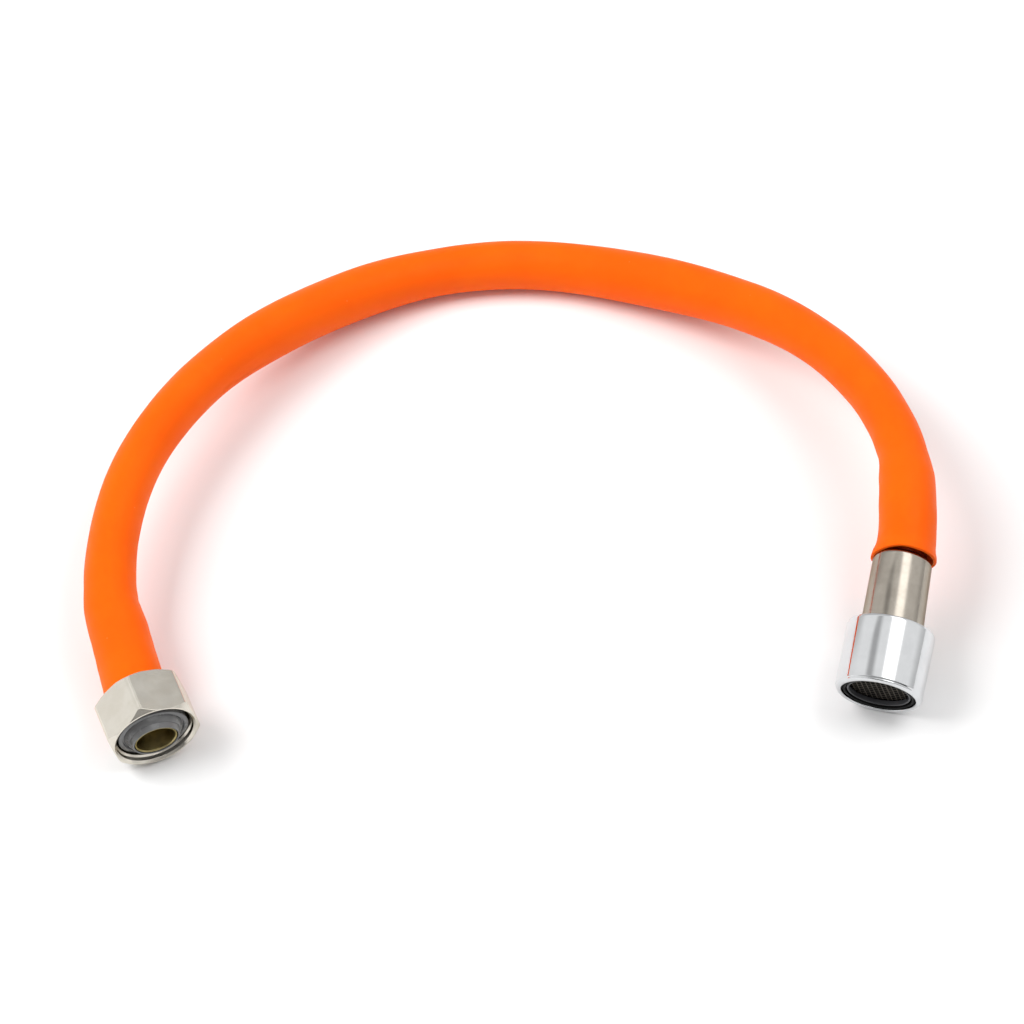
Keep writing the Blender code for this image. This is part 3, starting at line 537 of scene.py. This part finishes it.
# Outlet ferrule and threaded tail
ferruleSettings = {
    "front": -19.4, "radius": 8.8, "taper": 0.4, "bore": 7.75, "shoulder": -40.0, "round": 2.2,
    "neck": 6.35, "neckBore": 5.65, "back": -49.0, "lean": 1.0, "roundSteps": 8, "steps": 144,
    "edge": 0.12,
}


def makeOutletFerrule(s):
    slim = s["radius"] - s["taper"]
    profile = [(s["radius"], s["front"]), (slim, s["shoulder"])]
    for i in range(1, s["roundSteps"] + 1):
        angle = math.radians(90.0 * i / s["roundSteps"])
        profile.append((slim - s["round"] * (1.0 - math.cos(angle)),
                        s["shoulder"] - s["round"] * math.sin(angle)))
    wall = s["radius"] - s["bore"]
    end = s["shoulder"] - s["round"]
    profile += [(s["neck"], end - 0.05), (s["neck"], s["back"]), (s["neckBore"], s["back"]),
                (s["neckBore"], end + wall), (s["bore"], s["shoulder"] + wall),
                (s["bore"], s["front"])]
    bm = turnedBm(profile, s["steps"])
    roundEdges(bm, s["edge"])
    for v in bm.verts:  # it leans a little to the left towards its back
        v.co.x -= s["lean"] * (v.co.z - s["front"] * mm) / (s["back"] - s["front"])
    return finishMesh("outletFerrule", bm, outletPlace)


outletFerrule = makeOutletFerrule(ferruleSettings)
settle(outletFerrule, "hose", "satin_steel", "outlet_ferrule")

outletTailSettings = {
    "profile": [
        (9.95, -11.9), (10.35, -12.3), (10.35, -19.0), (7.4, -19.0), (7.4, -29.5),
        *barbProfile(barbSettings, -29.5), (2.05, -46.0), (1.6, -46.0), (1.6, -14.9),
        (7.0, -14.9), (7.0, -11.9),
    ],
    "steps": 96, "edge": 0.08,
    "threadRoot": 10.25, "threadCrest": 10.68, "threadTop": -12.7, "threadPitch": 1.0,
    "threadTurns": 5.8,
}
outletTail = turnedPiece("outletTail", outletTailSettings, outletPlace)
settle(outletTail, "hose", "brass", "outlet_nipple")
tailThread = threadRidge("tailThread", outletTailSettings, outletPlace)
settle(tailThread, "hose", "brass")

# Aerator shell and its cartridge
shellSettings = {
    "length": 20.0, "back": 12.5, "front": 12.25, "bore": 10.95, "opening": 10.45,
    "lip": 1.2, "chamfer": 0.7, "steps": 160, "edge": 0.1,
}


def makeShell(s):
    # chamfered at both rims, with a small step behind the front one
    c = s["chamfer"]
    bm = turnedBm([
        (s["opening"] + 0.25, 0.0), (s["front"] - c - 0.2, 0.0), (s["front"] - 0.3, -c * 0.7),
        (s["front"] - 0.26, -c - 0.1), (s["front"], -c - 0.45),
        (s["back"], -s["length"] + c + 0.2),
        (s["back"] - 0.16, -s["length"] + c * 0.45), (s["back"] - c, -s["length"]),
        (s["bore"] + 0.4, -s["length"]), (s["bore"], -s["length"] + 0.4),
        (s["bore"], -s["lip"]), (s["opening"], -s["lip"]), (s["opening"], -0.25),
    ], s["steps"])
    roundEdges(bm, s["edge"], 3, 14.0)
    return finishMesh("aeratorShell", bm, outletPlace, 50.0)


shell = makeShell(shellSettings)
settle(shell, "housing", "chrome_plated_brass", "aerator_housing")

cartridgeSettings = {
    "profile": [(10.1, -0.5), (10.1, -1.5), (10.6, -1.5), (10.6, -8.6), (9.3, -8.6), (9.3, -0.5)],
    "steps": 128, "edge": 0.16,
}
cartridge = turnedPiece("cartridgeBody", cartridgeSettings, outletPlace)
settle(cartridge, "cartridge", "black_plastic", "cartridge_body")

ringSettings = {
    "profile": [(8.95, -0.9), (8.95, -2.3), (8.4, -2.3), (8.4, -0.9)],
    "steps": 128, "edge": 0.14, "paintedShadeBelow": -1.12,
}


def makeGridRing(s):
    bm = turnedBm(s["profile"], s["steps"])
    roundEdges(bm, s["edge"])
    for face in bm.faces:  # only the ring's front is grey; its deeper faces are black, painted shade in the recess
        if face.calc_center_median().z < s["paintedShadeBelow"] * mm:
            face.material_index = 1
    return finishMesh("gridRing", bm, outletPlace)


gridRing = makeGridRing(ringSettings)
settle(gridRing, "cartridge", "dark_grey_plastic", "insert_ring")

gridSettings = {
    "radius": 8.95, "front": -2.6, "thick": 1.4, "pitch": 1.4, "bar": 0.30, "turn": 13.0,
    "trims": 48,
}


def makeGrid(name, s):
    # square holes from an inset grid, trimmed to a disc and given its depth
    bm = bmesh.new()
    count = int(2.0 * s["radius"] / s["pitch"]) + 3
    bmesh.ops.create_grid(bm, x_segments=count, y_segments=count,
                          size=count * s["pitch"] * mm / 2.0)
    bmesh.ops.inset_individual(bm, faces=list(bm.faces), thickness=s["bar"] / 2.0 * mm,
                               use_even_offset=True)
    holes = [f for f in bm.faces if f.calc_area() > 0.5 * (s["pitch"] * mm) ** 2]
    bmesh.ops.delete(bm, geom=holes, context="FACES")
    for i in range(s["trims"]):
        angle = 2.0 * math.pi * i / s["trims"]
        across = Vector((math.cos(angle), math.sin(angle), 0.0))
        bmesh.ops.bisect_plane(bm, geom=bm.verts[:] + bm.edges[:] + bm.faces[:], dist=1e-8,
                               plane_co=across * s["radius"] * mm, plane_no=across,
                               clear_outer=True)
    bmesh.ops.rotate(bm, verts=bm.verts, matrix=Matrix.Rotation(math.radians(s["turn"]), 3, "Z"))
    bmesh.ops.translate(bm, verts=bm.verts, vec=(0, 0, s["front"] * mm))
    bmesh.ops.recalc_face_normals(bm, faces=bm.faces)
    if sum(f.normal.z for f in bm.faces) < 0.0:
        bmesh.ops.reverse_faces(bm, faces=bm.faces)
    piece = finishMesh(name, bm, outletPlace, 30.0)
    depth = piece.modifiers.new("depth", "SOLIDIFY")
    depth.thickness = s["thick"] * mm
    depth.offset = -1.0
    # the hole walls take the black plastic: painted shade inside the holes
    depth.material_offset_rim = 1
    return piece


grid = makeGrid("outletGrid", gridSettings)
settle(grid, "cartridge", "black_plastic", "outlet_grid")
print("stage 6: outlet end made")


# Shared shader effects
def newGroup(name, inputs, outputs):
    group = bpy.data.node_groups.new(name, "ShaderNodeTree")
    for label, kind, value in inputs:
        socket = group.interface.new_socket(label, in_out="INPUT", socket_type=kind)
        if value is not None:
            socket.default_value = value
    for label, kind in outputs:
        group.interface.new_socket(label, in_out="OUTPUT", socket_type=kind)
    return group, group.nodes.new("NodeGroupInput"), group.nodes.new("NodeGroupOutput")


def addNode(tree, kind, values=None, **settings):
    node = tree.nodes.new(kind)
    for key, value in settings.items():
        setattr(node, key, value)
    for key, value in (values or {}).items():
        node.inputs[key].default_value = value
    return node


def mapRange(tree, source, low, high, toLow, toHigh):
    node = addNode(tree, "ShaderNodeMapRange",
                   {"From Min": low, "From Max": high, "To Min": toLow, "To Max": toHigh},
                   interpolation_type="SMOOTHSTEP")
    tree.links.new(source, node.inputs["Value"])
    return node.outputs["Result"]


def mathNode(tree, operation, *values):
    # plain numbers are set and sockets are linked
    node = addNode(tree, "ShaderNodeMath", operation=operation)
    for index, value in enumerate(values):
        if isinstance(value, float):
            node.inputs[index].default_value = value
        else:
            tree.links.new(value, node.inputs[index])
    return node.outputs[0]


def addTexture(tree, kind, vector, scale, **values):
    node = addNode(tree, kind, values)
    tree.links.new(vector, node.inputs["Vector"])
    tree.links.new(scale, node.inputs["Scale"])
    return node


def makeHazeGroup():
    # soft smudges from handling, given out between the two limits
    group, start, end = newGroup("handlingHaze", [
        ("Vector", "NodeSocketVector", None), ("Scale", "NodeSocketFloat", 60.0),
        ("Low", "NodeSocketFloat", 0.2), ("High", "NodeSocketFloat", 0.3),
    ], [("Value", "NodeSocketFloat")])
    wide = addTexture(group, "ShaderNodeTexNoise", start.outputs["Vector"],
                      start.outputs["Scale"], Detail=4.0, Roughness=0.6)
    span = mapRange(group, wide.outputs["Fac"], 0.35, 0.68, 0.0, 1.0)
    group.links.new(start.outputs["Low"], span.node.inputs["To Min"])
    group.links.new(start.outputs["High"], span.node.inputs["To Max"])
    group.links.new(span, end.inputs["Value"])
    return group


def makeGrainGroup():
    # fine even grain as a height
    group, start, end = newGroup("fineGrain", [
        ("Vector", "NodeSocketVector", None), ("Scale", "NodeSocketFloat", 3000.0),
    ], [("Height", "NodeSocketFloat")])
    fine = addTexture(group, "ShaderNodeTexNoise", start.outputs["Vector"],
                      start.outputs["Scale"], Detail=2.0, Roughness=0.5)
    group.links.new(fine.outputs["Fac"], end.inputs["Height"])
    return group


def makeSpeckGroup():
    # small scattered specks of lint and dust
    group, start, end = newGroup("dustSpecks", [
        ("Vector", "NodeSocketVector", None), ("Scale", "NodeSocketFloat", 600.0),
        ("Amount", "NodeSocketFloat", 0.1),
    ], [("Mask", "NodeSocketFloat")])
    cells = addTexture(group, "ShaderNodeTexVoronoi", start.outputs["Vector"],
                       start.outputs["Scale"], Randomness=1.0)
    dot = mapRange(group, cells.outputs["Distance"], 0.05, 0.16, 1.0, 0.0)
    parts = addNode(group, "ShaderNodeSeparateColor")
    group.links.new(cells.outputs["Color"], parts.inputs["Color"])
    pick = mathNode(group, "LESS_THAN", parts.outputs["Red"], start.outputs["Amount"])
    group.links.new(mathNode(group, "MULTIPLY", dot, pick), end.inputs["Mask"])
    return group


def makeTurningGroup():
    # rings left by the lathe about the local Z axis, on walls and on flat faces
    group, start, end = newGroup("turningRings", [
        ("Vector", "NodeSocketVector", None), ("Scale", "NodeSocketFloat", 2500.0),
    ], [("Height", "NodeSocketFloat")])
    split = addNode(group, "ShaderNodeSeparateXYZ")
    group.links.new(start.outputs["Vector"], split.inputs[0])
    squares = [mathNode(group, "MULTIPLY", split.outputs[axis], split.outputs[axis])
               for axis in "XY"]
    radius = mathNode(group, "SQRT", mathNode(group, "ADD", *squares))
    place = addNode(group, "ShaderNodeCombineXYZ")
    group.links.new(radius, place.inputs["X"])
    group.links.new(split.outputs["Z"], place.inputs["Y"])
    lines = addTexture(group, "ShaderNodeTexNoise", place.outputs[0], start.outputs["Scale"],
                       Detail=3.0, Roughness=0.7)
    group.links.new(lines.outputs["Fac"], end.inputs["Height"])
    return group


def makeScratchGroup():
    # hair scratches, drawn out along one direction of the given coordinates
    group, start, end = newGroup("hairScratches", [
        ("Vector", "NodeSocketVector", None), ("Scale", "NodeSocketFloat", 260.0),
        ("Amount", "NodeSocketFloat", 0.5),
    ], [("Mask", "NodeSocketFloat")])
    stretch = addNode(group, "ShaderNodeMapping",
                      {"Rotation": (0.6, 0.4, 0.9), "Scale": (1.0, 0.05, 0.35)})
    group.links.new(start.outputs["Vector"], stretch.inputs["Vector"])
    hairs = addTexture(group, "ShaderNodeTexNoise", stretch.outputs[0], start.outputs["Scale"],
                       Detail=5.0, Roughness=0.75)
    thin = mapRange(group, hairs.outputs["Fac"], 0.60, 0.72, 0.0, 1.0)
    amount = mathNode(group, "MULTIPLY", thin, start.outputs["Amount"])
    group.links.new(amount, end.inputs["Mask"])
    return group


hazeGroup = makeHazeGroup()
grainGroup = makeGrainGroup()
speckGroup = makeSpeckGroup()
turningGroup = makeTurningGroup()
scratchGroup = makeScratchGroup()


# Materials
def newMaterial(name, colour, metallic, roughness):
    material = bpy.data.materials.new(name)
    material.use_nodes = True
    tree = material.node_tree
    shader = tree.nodes["Principled BSDF"]
    shader.inputs["Base Color"].default_value = (*colour, 1.0)
    shader.inputs["Metallic"].default_value = metallic
    shader.inputs["Roughness"].default_value = roughness
    return material, tree, shader


def objectCoords(tree):
    return addNode(tree, "ShaderNodeTexCoord").outputs["Object"]


def localCoords(tree, place):
    # object coordinates measured from a pipe end, with Z along its axis
    node = addNode(tree, "ShaderNodeMapping",
                   {"Location": place.translation, "Rotation": place.to_euler("XYZ")},
                   vector_type="TEXTURE")
    tree.links.new(objectCoords(tree), node.inputs["Vector"])
    return node.outputs[0]


def useGroup(tree, group, vector, **values):
    node = addNode(tree, "ShaderNodeGroup", node_tree=group)
    tree.links.new(vector, node.inputs["Vector"])
    for key, value in values.items():
        node.inputs[key].default_value = value
    return node.outputs[0]


def mixColours(tree, mask, first, second):
    node = addNode(tree, "ShaderNodeMix", data_type="RGBA")
    tree.links.new(mask, node.inputs[0])
    for index, value in ((6, first), (7, second)):
        if isinstance(value, tuple):
            node.inputs[index].default_value = (*value, 1.0)
        else:
            tree.links.new(value, node.inputs[index])
    return node.outputs[2]


def addBump(tree, shader, height, strength, distance, under=None):
    node = addNode(tree, "ShaderNodeBump", {"Strength": strength, "Distance": distance * mm})
    tree.links.new(height, node.inputs["Height"])
    if under is not None:
        tree.links.new(under, node.inputs["Normal"])
    tree.links.new(node.outputs["Normal"], shader.inputs["Normal"])
    return node.outputs["Normal"]


def addDust(tree, body, dust, scale, amount, strength):
    # small pale specks over the body colour
    specks = useGroup(tree, speckGroup, objectCoords(tree), Scale=scale, Amount=amount)
    return mixColours(tree, mathNode(tree, "MULTIPLY", specks, strength), body, dust)


siliconeLook = {
    "colour": (1.0, 0.130, 0.0018), "deep": (0.98, 0.117, 0.0014), "dust": (1.0, 0.34, 0.15),
    "rough": (0.50, 0.62), "shine": 0.12,
    "under": 0.2, "underRadius": (1.0, 0.30, 0.10), "underDepth": 1.6,
    "sheen": 0.02, "sheenRough": 0.45, "sheenTint": (1.0, 0.62, 0.42, 1.0),
    # drawn lines run along the sleeve, fine grain lies over them
    "drawnScale": (0.0075, 0.0075, 0.12), "drawn": (0.10, 0.06), "grain": (0.16, 0.03),
}


def makeSilicone(s):
    material, tree, shader = newMaterial("orangeSilicone", s["colour"], 0.0, 0.56)
    along = addNode(tree, "ShaderNodeAttribute", attribute_name="hoseCoord").outputs["Vector"]
    stretch = addNode(tree, "ShaderNodeMapping", {"Scale": s["drawnScale"]})
    tree.links.new(along, stretch.inputs["Vector"])
    tone = useGroup(tree, hazeGroup, objectCoords(tree), Scale=38.0, Low=0.0, High=1.0)
    body = mixColours(tree, tone, s["colour"], s["deep"])
    tree.links.new(addDust(tree, body, s["dust"], 420.0, 0.035, 0.30),
                   shader.inputs["Base Color"])
    low, high = s["rough"]
    rough = useGroup(tree, hazeGroup, objectCoords(tree), Scale=90.0, Low=low, High=high)
    tree.links.new(rough, shader.inputs["Roughness"])
    drawn = useGroup(tree, grainGroup, stretch.outputs[0], Scale=900.0)
    first = addBump(tree, shader, drawn, *s["drawn"])
    grain = useGroup(tree, grainGroup, objectCoords(tree), Scale=4200.0)
    addBump(tree, shader, grain, *s["grain"], first)
    shader.inputs["Specular IOR Level"].default_value = s["shine"]
    shader.inputs["Subsurface Weight"].default_value = s["under"]
    shader.inputs["Subsurface Radius"].default_value = s["underRadius"]
    shader.inputs["Subsurface Scale"].default_value = s["underDepth"] * mm
    shader.inputs["Sheen Weight"].default_value = s["sheen"]
    shader.inputs["Sheen Roughness"].default_value = s["sheenRough"]
    shader.inputs["Sheen Tint"].default_value = s["sheenTint"]
    return material


# a metal's colour and its stained tone, roughness, depth of lathe rings, hair scratches,
# scale of the rings and tint at a glancing angle
metalLooks = {
    "nickel": {"colour": (0.68, 0.645, 0.575), "worn": (0.64, 0.60, 0.525), "rough": (0.19, 0.26),
               "lines": 0.04, "scratch": 0.12, "scale": 1600.0, "edge": (0.9, 0.87, 0.8)},
    "chrome": {"colour": (0.67, 0.68, 0.69), "worn": (0.63, 0.64, 0.65), "rough": (0.05, 0.11),
               "lines": 0.010, "scratch": 0.12, "scale": 1200.0, "edge": (1.0, 1.0, 1.0)},
    "satin": {"colour": (0.41, 0.375, 0.325), "worn": (0.355, 0.32, 0.275), "rough": (0.15, 0.23),
              "lines": 0.16, "scratch": 0.18, "scale": 2600.0, "edge": (0.62, 0.57, 0.5)},
    "brass": {"colour": (0.62, 0.47, 0.20), "worn": (0.38, 0.27, 0.10), "rough": (0.28, 0.45),
              "lines": 0.14, "scratch": 0.25, "scale": 2200.0, "edge": (1.0, 0.9, 0.6)},
    # brass darkened for the inlet tail: painted shade inside its bore
    "shadedBoreBrass": {"colour": (0.46, 0.385, 0.19), "worn": (0.26, 0.215, 0.10),
                 "rough": (0.30, 0.48), "lines": 0.16, "scratch": 0.3, "scale": 2200.0,
                 "edge": (0.6, 0.52, 0.3)},
    "wire": {"colour": (0.60, 0.59, 0.57), "worn": (0.50, 0.49, 0.46), "rough": (0.20, 0.32),
             "lines": 0.0, "scratch": 0.25, "scale": 2200.0, "edge": (1.0, 1.0, 1.0)},
}


def makeMetal(name, s, place):
    material, tree, shader = newMaterial(name, s["colour"], 1.0, 0.25)
    local = localCoords(tree, place)
    stain = useGroup(tree, hazeGroup, objectCoords(tree), Scale=150.0, Low=0.0, High=1.0)
    tree.links.new(mixColours(tree, stain, s["colour"], s["worn"]), shader.inputs["Base Color"])
    low, high = s["rough"]
    haze = useGroup(tree, hazeGroup, objectCoords(tree), Scale=220.0, Low=low, High=high)
    hairs = useGroup(tree, scratchGroup, local, Scale=900.0, Amount=s["scratch"])
    tree.links.new(mathNode(tree, "MULTIPLY_ADD", hairs, 0.22, haze), shader.inputs["Roughness"])
    rings = useGroup(tree, turningGroup, local, Scale=s["scale"])
    first = addBump(tree, shader, rings, s["lines"], 0.02)
    addBump(tree, shader, hairs, 0.05, 0.01, first)
    shader.inputs["Specular Tint"].default_value = (*s["edge"], 1.0)
    return material


polymerLooks = {
    "sealRubber": {"colour": (0.140, 0.140, 0.142), "pale": (0.155, 0.155, 0.154),
                   "rough": (0.20, 0.28), "grain": 5200.0, "bump": 0.12, "shine": 0.5},
    "washerRubber": {"colour": (0.020, 0.020, 0.021), "pale": (0.03, 0.03, 0.03),
                     "rough": (0.50, 0.62), "grain": 5200.0, "bump": 0.15, "shine": 0.5},
    "blackPlastic": {"colour": (0.004, 0.004, 0.004), "pale": (0.007, 0.007, 0.007),
                     "rough": (0.42, 0.55), "grain": 6000.0, "bump": 0.10, "shine": 0.05},
    "gridPlastic": {"colour": (0.050, 0.043, 0.035), "pale": (0.085, 0.073, 0.058),
                    "rough": (0.45, 0.58), "grain": 6000.0, "bump": 0.10, "shine": 0.12},
    "ringPlastic": {"colour": (0.050, 0.051, 0.055), "pale": (0.070, 0.071, 0.075),
                    "rough": (0.28, 0.40), "grain": 6000.0, "bump": 0.10, "shine": 0.25},
    "tubePlastic": {"colour": (0.72, 0.64, 0.44), "pale": (0.78, 0.71, 0.52),
                    "rough": (0.34, 0.46), "grain": 3800.0, "bump": 0.10, "shine": 0.5},
}


def makePolymer(name):
    # moulded rubber and plastic: slight tone changes, fine moulded grain, a little dust
    s = polymerLooks[name]
    low, high = s["rough"]
    material, tree, shader = newMaterial(name, s["colour"], 0.0, (low + high) / 2.0)
    tone = useGroup(tree, hazeGroup, objectCoords(tree), Scale=260.0, Low=0.0, High=1.0)
    body = mixColours(tree, tone, s["colour"], s["pale"])
    dusty = tuple(min(1.0, c * 1.5 + 0.05) for c in s["pale"])
    tree.links.new(addDust(tree, body, dusty, 1500.0, 0.05, 0.25), shader.inputs["Base Color"])
    rough = useGroup(tree, hazeGroup, objectCoords(tree), Scale=400.0, Low=low, High=high)
    tree.links.new(rough, shader.inputs["Roughness"])
    grain = useGroup(tree, grainGroup, objectCoords(tree), Scale=s["grain"])
    addBump(tree, shader, grain, s["bump"], 0.03)
    shader.inputs["Specular IOR Level"].default_value = s["shine"]
    return material


silicone = makeSilicone(siliconeLook)
nickel = makeMetal("nickelPlate", metalLooks["nickel"], nutPlace)
chrome = makeMetal("chromePlate", metalLooks["chrome"], outletPlace)
satinOutlet = makeMetal("satinSteelOutlet", metalLooks["satin"], outletPlace)
satinInlet = makeMetal("satinSteelInlet", metalLooks["satin"], tailPlace)
brassInlet = makeMetal("brassInlet", metalLooks["shadedBoreBrass"], tailPlace)
brassOutlet = makeMetal("brassOutlet", metalLooks["brass"], outletPlace)
wireSteel = makeMetal("woundWireSteel", metalLooks["wire"], outletPlace)
sieveSteel = makeMetal("sieveSteel", metalLooks["wire"], outletPlace)
sealRubber = makePolymer("sealRubber")
washerRubber = makePolymer("washerRubber")
blackPlastic = makePolymer("blackPlastic")
gridPlastic = makePolymer("gridPlastic")
ringPlastic = makePolymer("ringPlastic")
tubePlastic = makePolymer("tubePlastic")

finishes = [
    (sleeve, silicone), (waterTube, tubePlastic), (roundWire, wireSteel), (wedgeWire, wireSteel),
    (nut, nickel), (nutThread, nickel), (seal, sealRubber), (inletTail, brassInlet, nickel),
    (inletFerrule, satinInlet), (outletFerrule, satinOutlet), (outletTail, brassOutlet),
    (tailThread, brassOutlet), (shell, chrome), (cartridge, blackPlastic),
    (gridRing, ringPlastic, blackPlastic), (grid, gridPlastic, blackPlastic),
]
for piece, *materials in finishes:
    useMaterial(piece, *materials)

# the pieces kept from the part, hidden in the aerator
keptNodes = {"lower_screen": sieveSteel, "upper_screen": sieveSteel, "filter_dome": sieveSteel,
             "jet_disc": blackPlastic, "aerator_washer": washerRubber}
for node, material in keptNodes.items():
    useMaterial(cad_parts[node], material)
print("stage 7: materials set")

# The hose's route: straight out of the nut, round the back, into the outlet ferrule
print("stage 8: hose declared,", round(route["length"] * 1000.0), "mm of sleeve")

# Table, lamps and surroundings
studioSettings = {
    "tableSize": 24.0, "tableColour": (0.92, 0.92, 0.92), "tableRough": 0.7, "tableShine": 0.15,
    # the table turns plain white for the camera between these distances
    "fadeFrom": 0.45, "fadeTo": 0.9,
    "lamps": [
        # name, place, size, power
        ("lampLeft", (-1.1, 0.0, 1.3), (1.1, 1.0), 23.0),
        ("lampRight", (0.85, 0.15, 1.3), (1.0, 1.0), 9.0),
        ("lampTop", (0.0, -0.1, 2.1), (1.4, 1.0), 5.0),
    ],
    "fill": 0.40,
    # what bare metal sees: walls that are paler on the left, a ceiling, the dimmer sides in front
    # and behind, a patch overhead that brightens backwards and a long bright panel on its right
    "walls": 0.70, "leftWall": 1.12, "ceiling": 1.04, "behind": 0.66, "front": 0.42,
    "frontLow": 0.08, "dimPatch": 0.52, "brightPatch": 1.3, "patchFrom": -22.0, "patchTo": -38.0,
    "panel": 2.8, "panelFrom": 2.0, "panelTo": 31.0, "patchSoft": 6.0, "panelSoft": 5.0,
    # where one of these fades into the next, along the direction looked in
    "leftFade": (-0.95, -0.78), "ceilingFade": (0.05, 0.40), "patchFade": (0.28, 0.40),
    "behindFade": (0.48, 0.66), "frontLowFade": (0.05, 0.45), "frontFade": (-0.70, -0.40),
}


def makeTable(s):
    bm = bmesh.new()
    bmesh.ops.create_grid(bm, x_segments=1, y_segments=1, size=s["tableSize"] / 2.0)
    table = finishMesh("table", bm)
    material, tree, shader = newMaterial("tablePaint", s["tableColour"], 0.0, s["tableRough"])
    shader.inputs["Specular IOR Level"].default_value = s["tableShine"]
    distance = addNode(tree, "ShaderNodeVectorMath", operation="LENGTH")
    tree.links.new(objectCoords(tree), distance.inputs[0])
    far = mapRange(tree, distance.outputs["Value"], s["fadeFrom"], s["fadeTo"], 0.0, 1.0)
    rays = addNode(tree, "ShaderNodeLightPath")
    toCamera = mathNode(tree, "MULTIPLY", far, rays.outputs["Is Camera Ray"])
    plainWhite = addNode(tree, "ShaderNodeEmission")
    blend = addNode(tree, "ShaderNodeMixShader")
    tree.links.new(toCamera, blend.inputs[0])
    tree.links.new(shader.outputs[0], blend.inputs[1])
    tree.links.new(plainWhite.outputs[0], blend.inputs[2])
    tree.links.new(blend.outputs[0], tree.nodes["Material Output"].inputs["Surface"])
    useMaterial(table, material)


def makeLamps(s):
    for name, place, size, power in s["lamps"]:
        data = bpy.data.lights.new(name, "AREA")
        data.shape = "RECTANGLE"
        data.size, data.size_y = size
        data.energy = power
        lamp = bpy.data.objects.new(name, data)
        lamp.location = place
        lamp.rotation_euler = (-Vector(place)).to_track_quat("-Z", "Y").to_euler()
        lamp.visible_glossy = False
        collection.objects.link(lamp)


def band(tree, angle, first, last, soft):
    # 1 between the two angles, in degrees, with soft sides
    rise = mapRange(tree, angle, math.radians(first - soft), math.radians(first + soft), 0.0, 1.0)
    fall = mapRange(tree, angle, math.radians(last - soft), math.radians(last + soft), 1.0, 0.0)
    return mathNode(tree, "MULTIPLY", rise, fall)


def mixValues(tree, mask, first, second):
    node = addNode(tree, "ShaderNodeMix", data_type="FLOAT")
    tree.links.new(mask, node.inputs[0])
    for index, value in ((2, first), (3, second)):
        if isinstance(value, float):
            node.inputs[index].default_value = value
        else:
            tree.links.new(value, node.inputs[index])
    return node.outputs[0]


def makeSurroundings(s):
    world = bpy.data.worlds.new("studioWalls")
    world.use_nodes = True
    bpy.context.scene.world = world
    tree = world.node_tree
    background = tree.nodes["Background"]
    around = addNode(tree, "ShaderNodeSeparateXYZ")
    tree.links.new(addNode(tree, "ShaderNodeTexCoord").outputs["Generated"], around.inputs[0])
    x, y, z = (around.outputs[axis] for axis in "XYZ")
    lean = mathNode(tree, "ARCTAN2", x, z)  # from straight up, to the right
    walls = mapRange(tree, x, *s["leftFade"], s["leftWall"], s["walls"])
    upward = mapRange(tree, z, *s["ceilingFade"], 0.0, 1.0)
    room = mixValues(tree, upward, walls, s["ceiling"])
    overhead = mapRange(tree, y, *s["patchFade"], s["dimPatch"], s["brightPatch"])
    patch = band(tree, lean, s["patchTo"], s["patchFrom"], s["patchSoft"])
    room = mixValues(tree, patch, room, overhead)
    panel = band(tree, lean, s["panelFrom"], s["panelTo"], s["panelSoft"])
    room = mixValues(tree, panel, room, s["panel"])
    backward = mapRange(tree, y, *s["behindFade"], 0.0, 1.0)
    room = mixValues(tree, backward, room, s["behind"])
    front = mapRange(tree, z, *s["frontLowFade"], s["frontLow"], s["front"])
    forward = mapRange(tree, y, *s["frontFade"], 1.0, 0.0)
    room = mixValues(tree, forward, room, front)
    rays = addNode(tree, "ShaderNodeLightPath")
    level = mixValues(tree, rays.outputs["Is Glossy Ray"], s["fill"], room)
    plainRays = mathNode(tree, "MAXIMUM", rays.outputs["Is Camera Ray"],
                         rays.outputs["Is Transmission Ray"])
    level = mixValues(tree, plainRays, level, 1.0)
    background.inputs["Color"].default_value = (1.0, 1.0, 1.0, 1.0)
    tree.links.new(level, background.inputs["Strength"])


makeTable(studioSettings)
makeLamps(studioSettings)
makeSurroundings(studioSettings)
bpy.context.scene.view_settings.view_transform = "Standard"
print("stage 9: studio set")
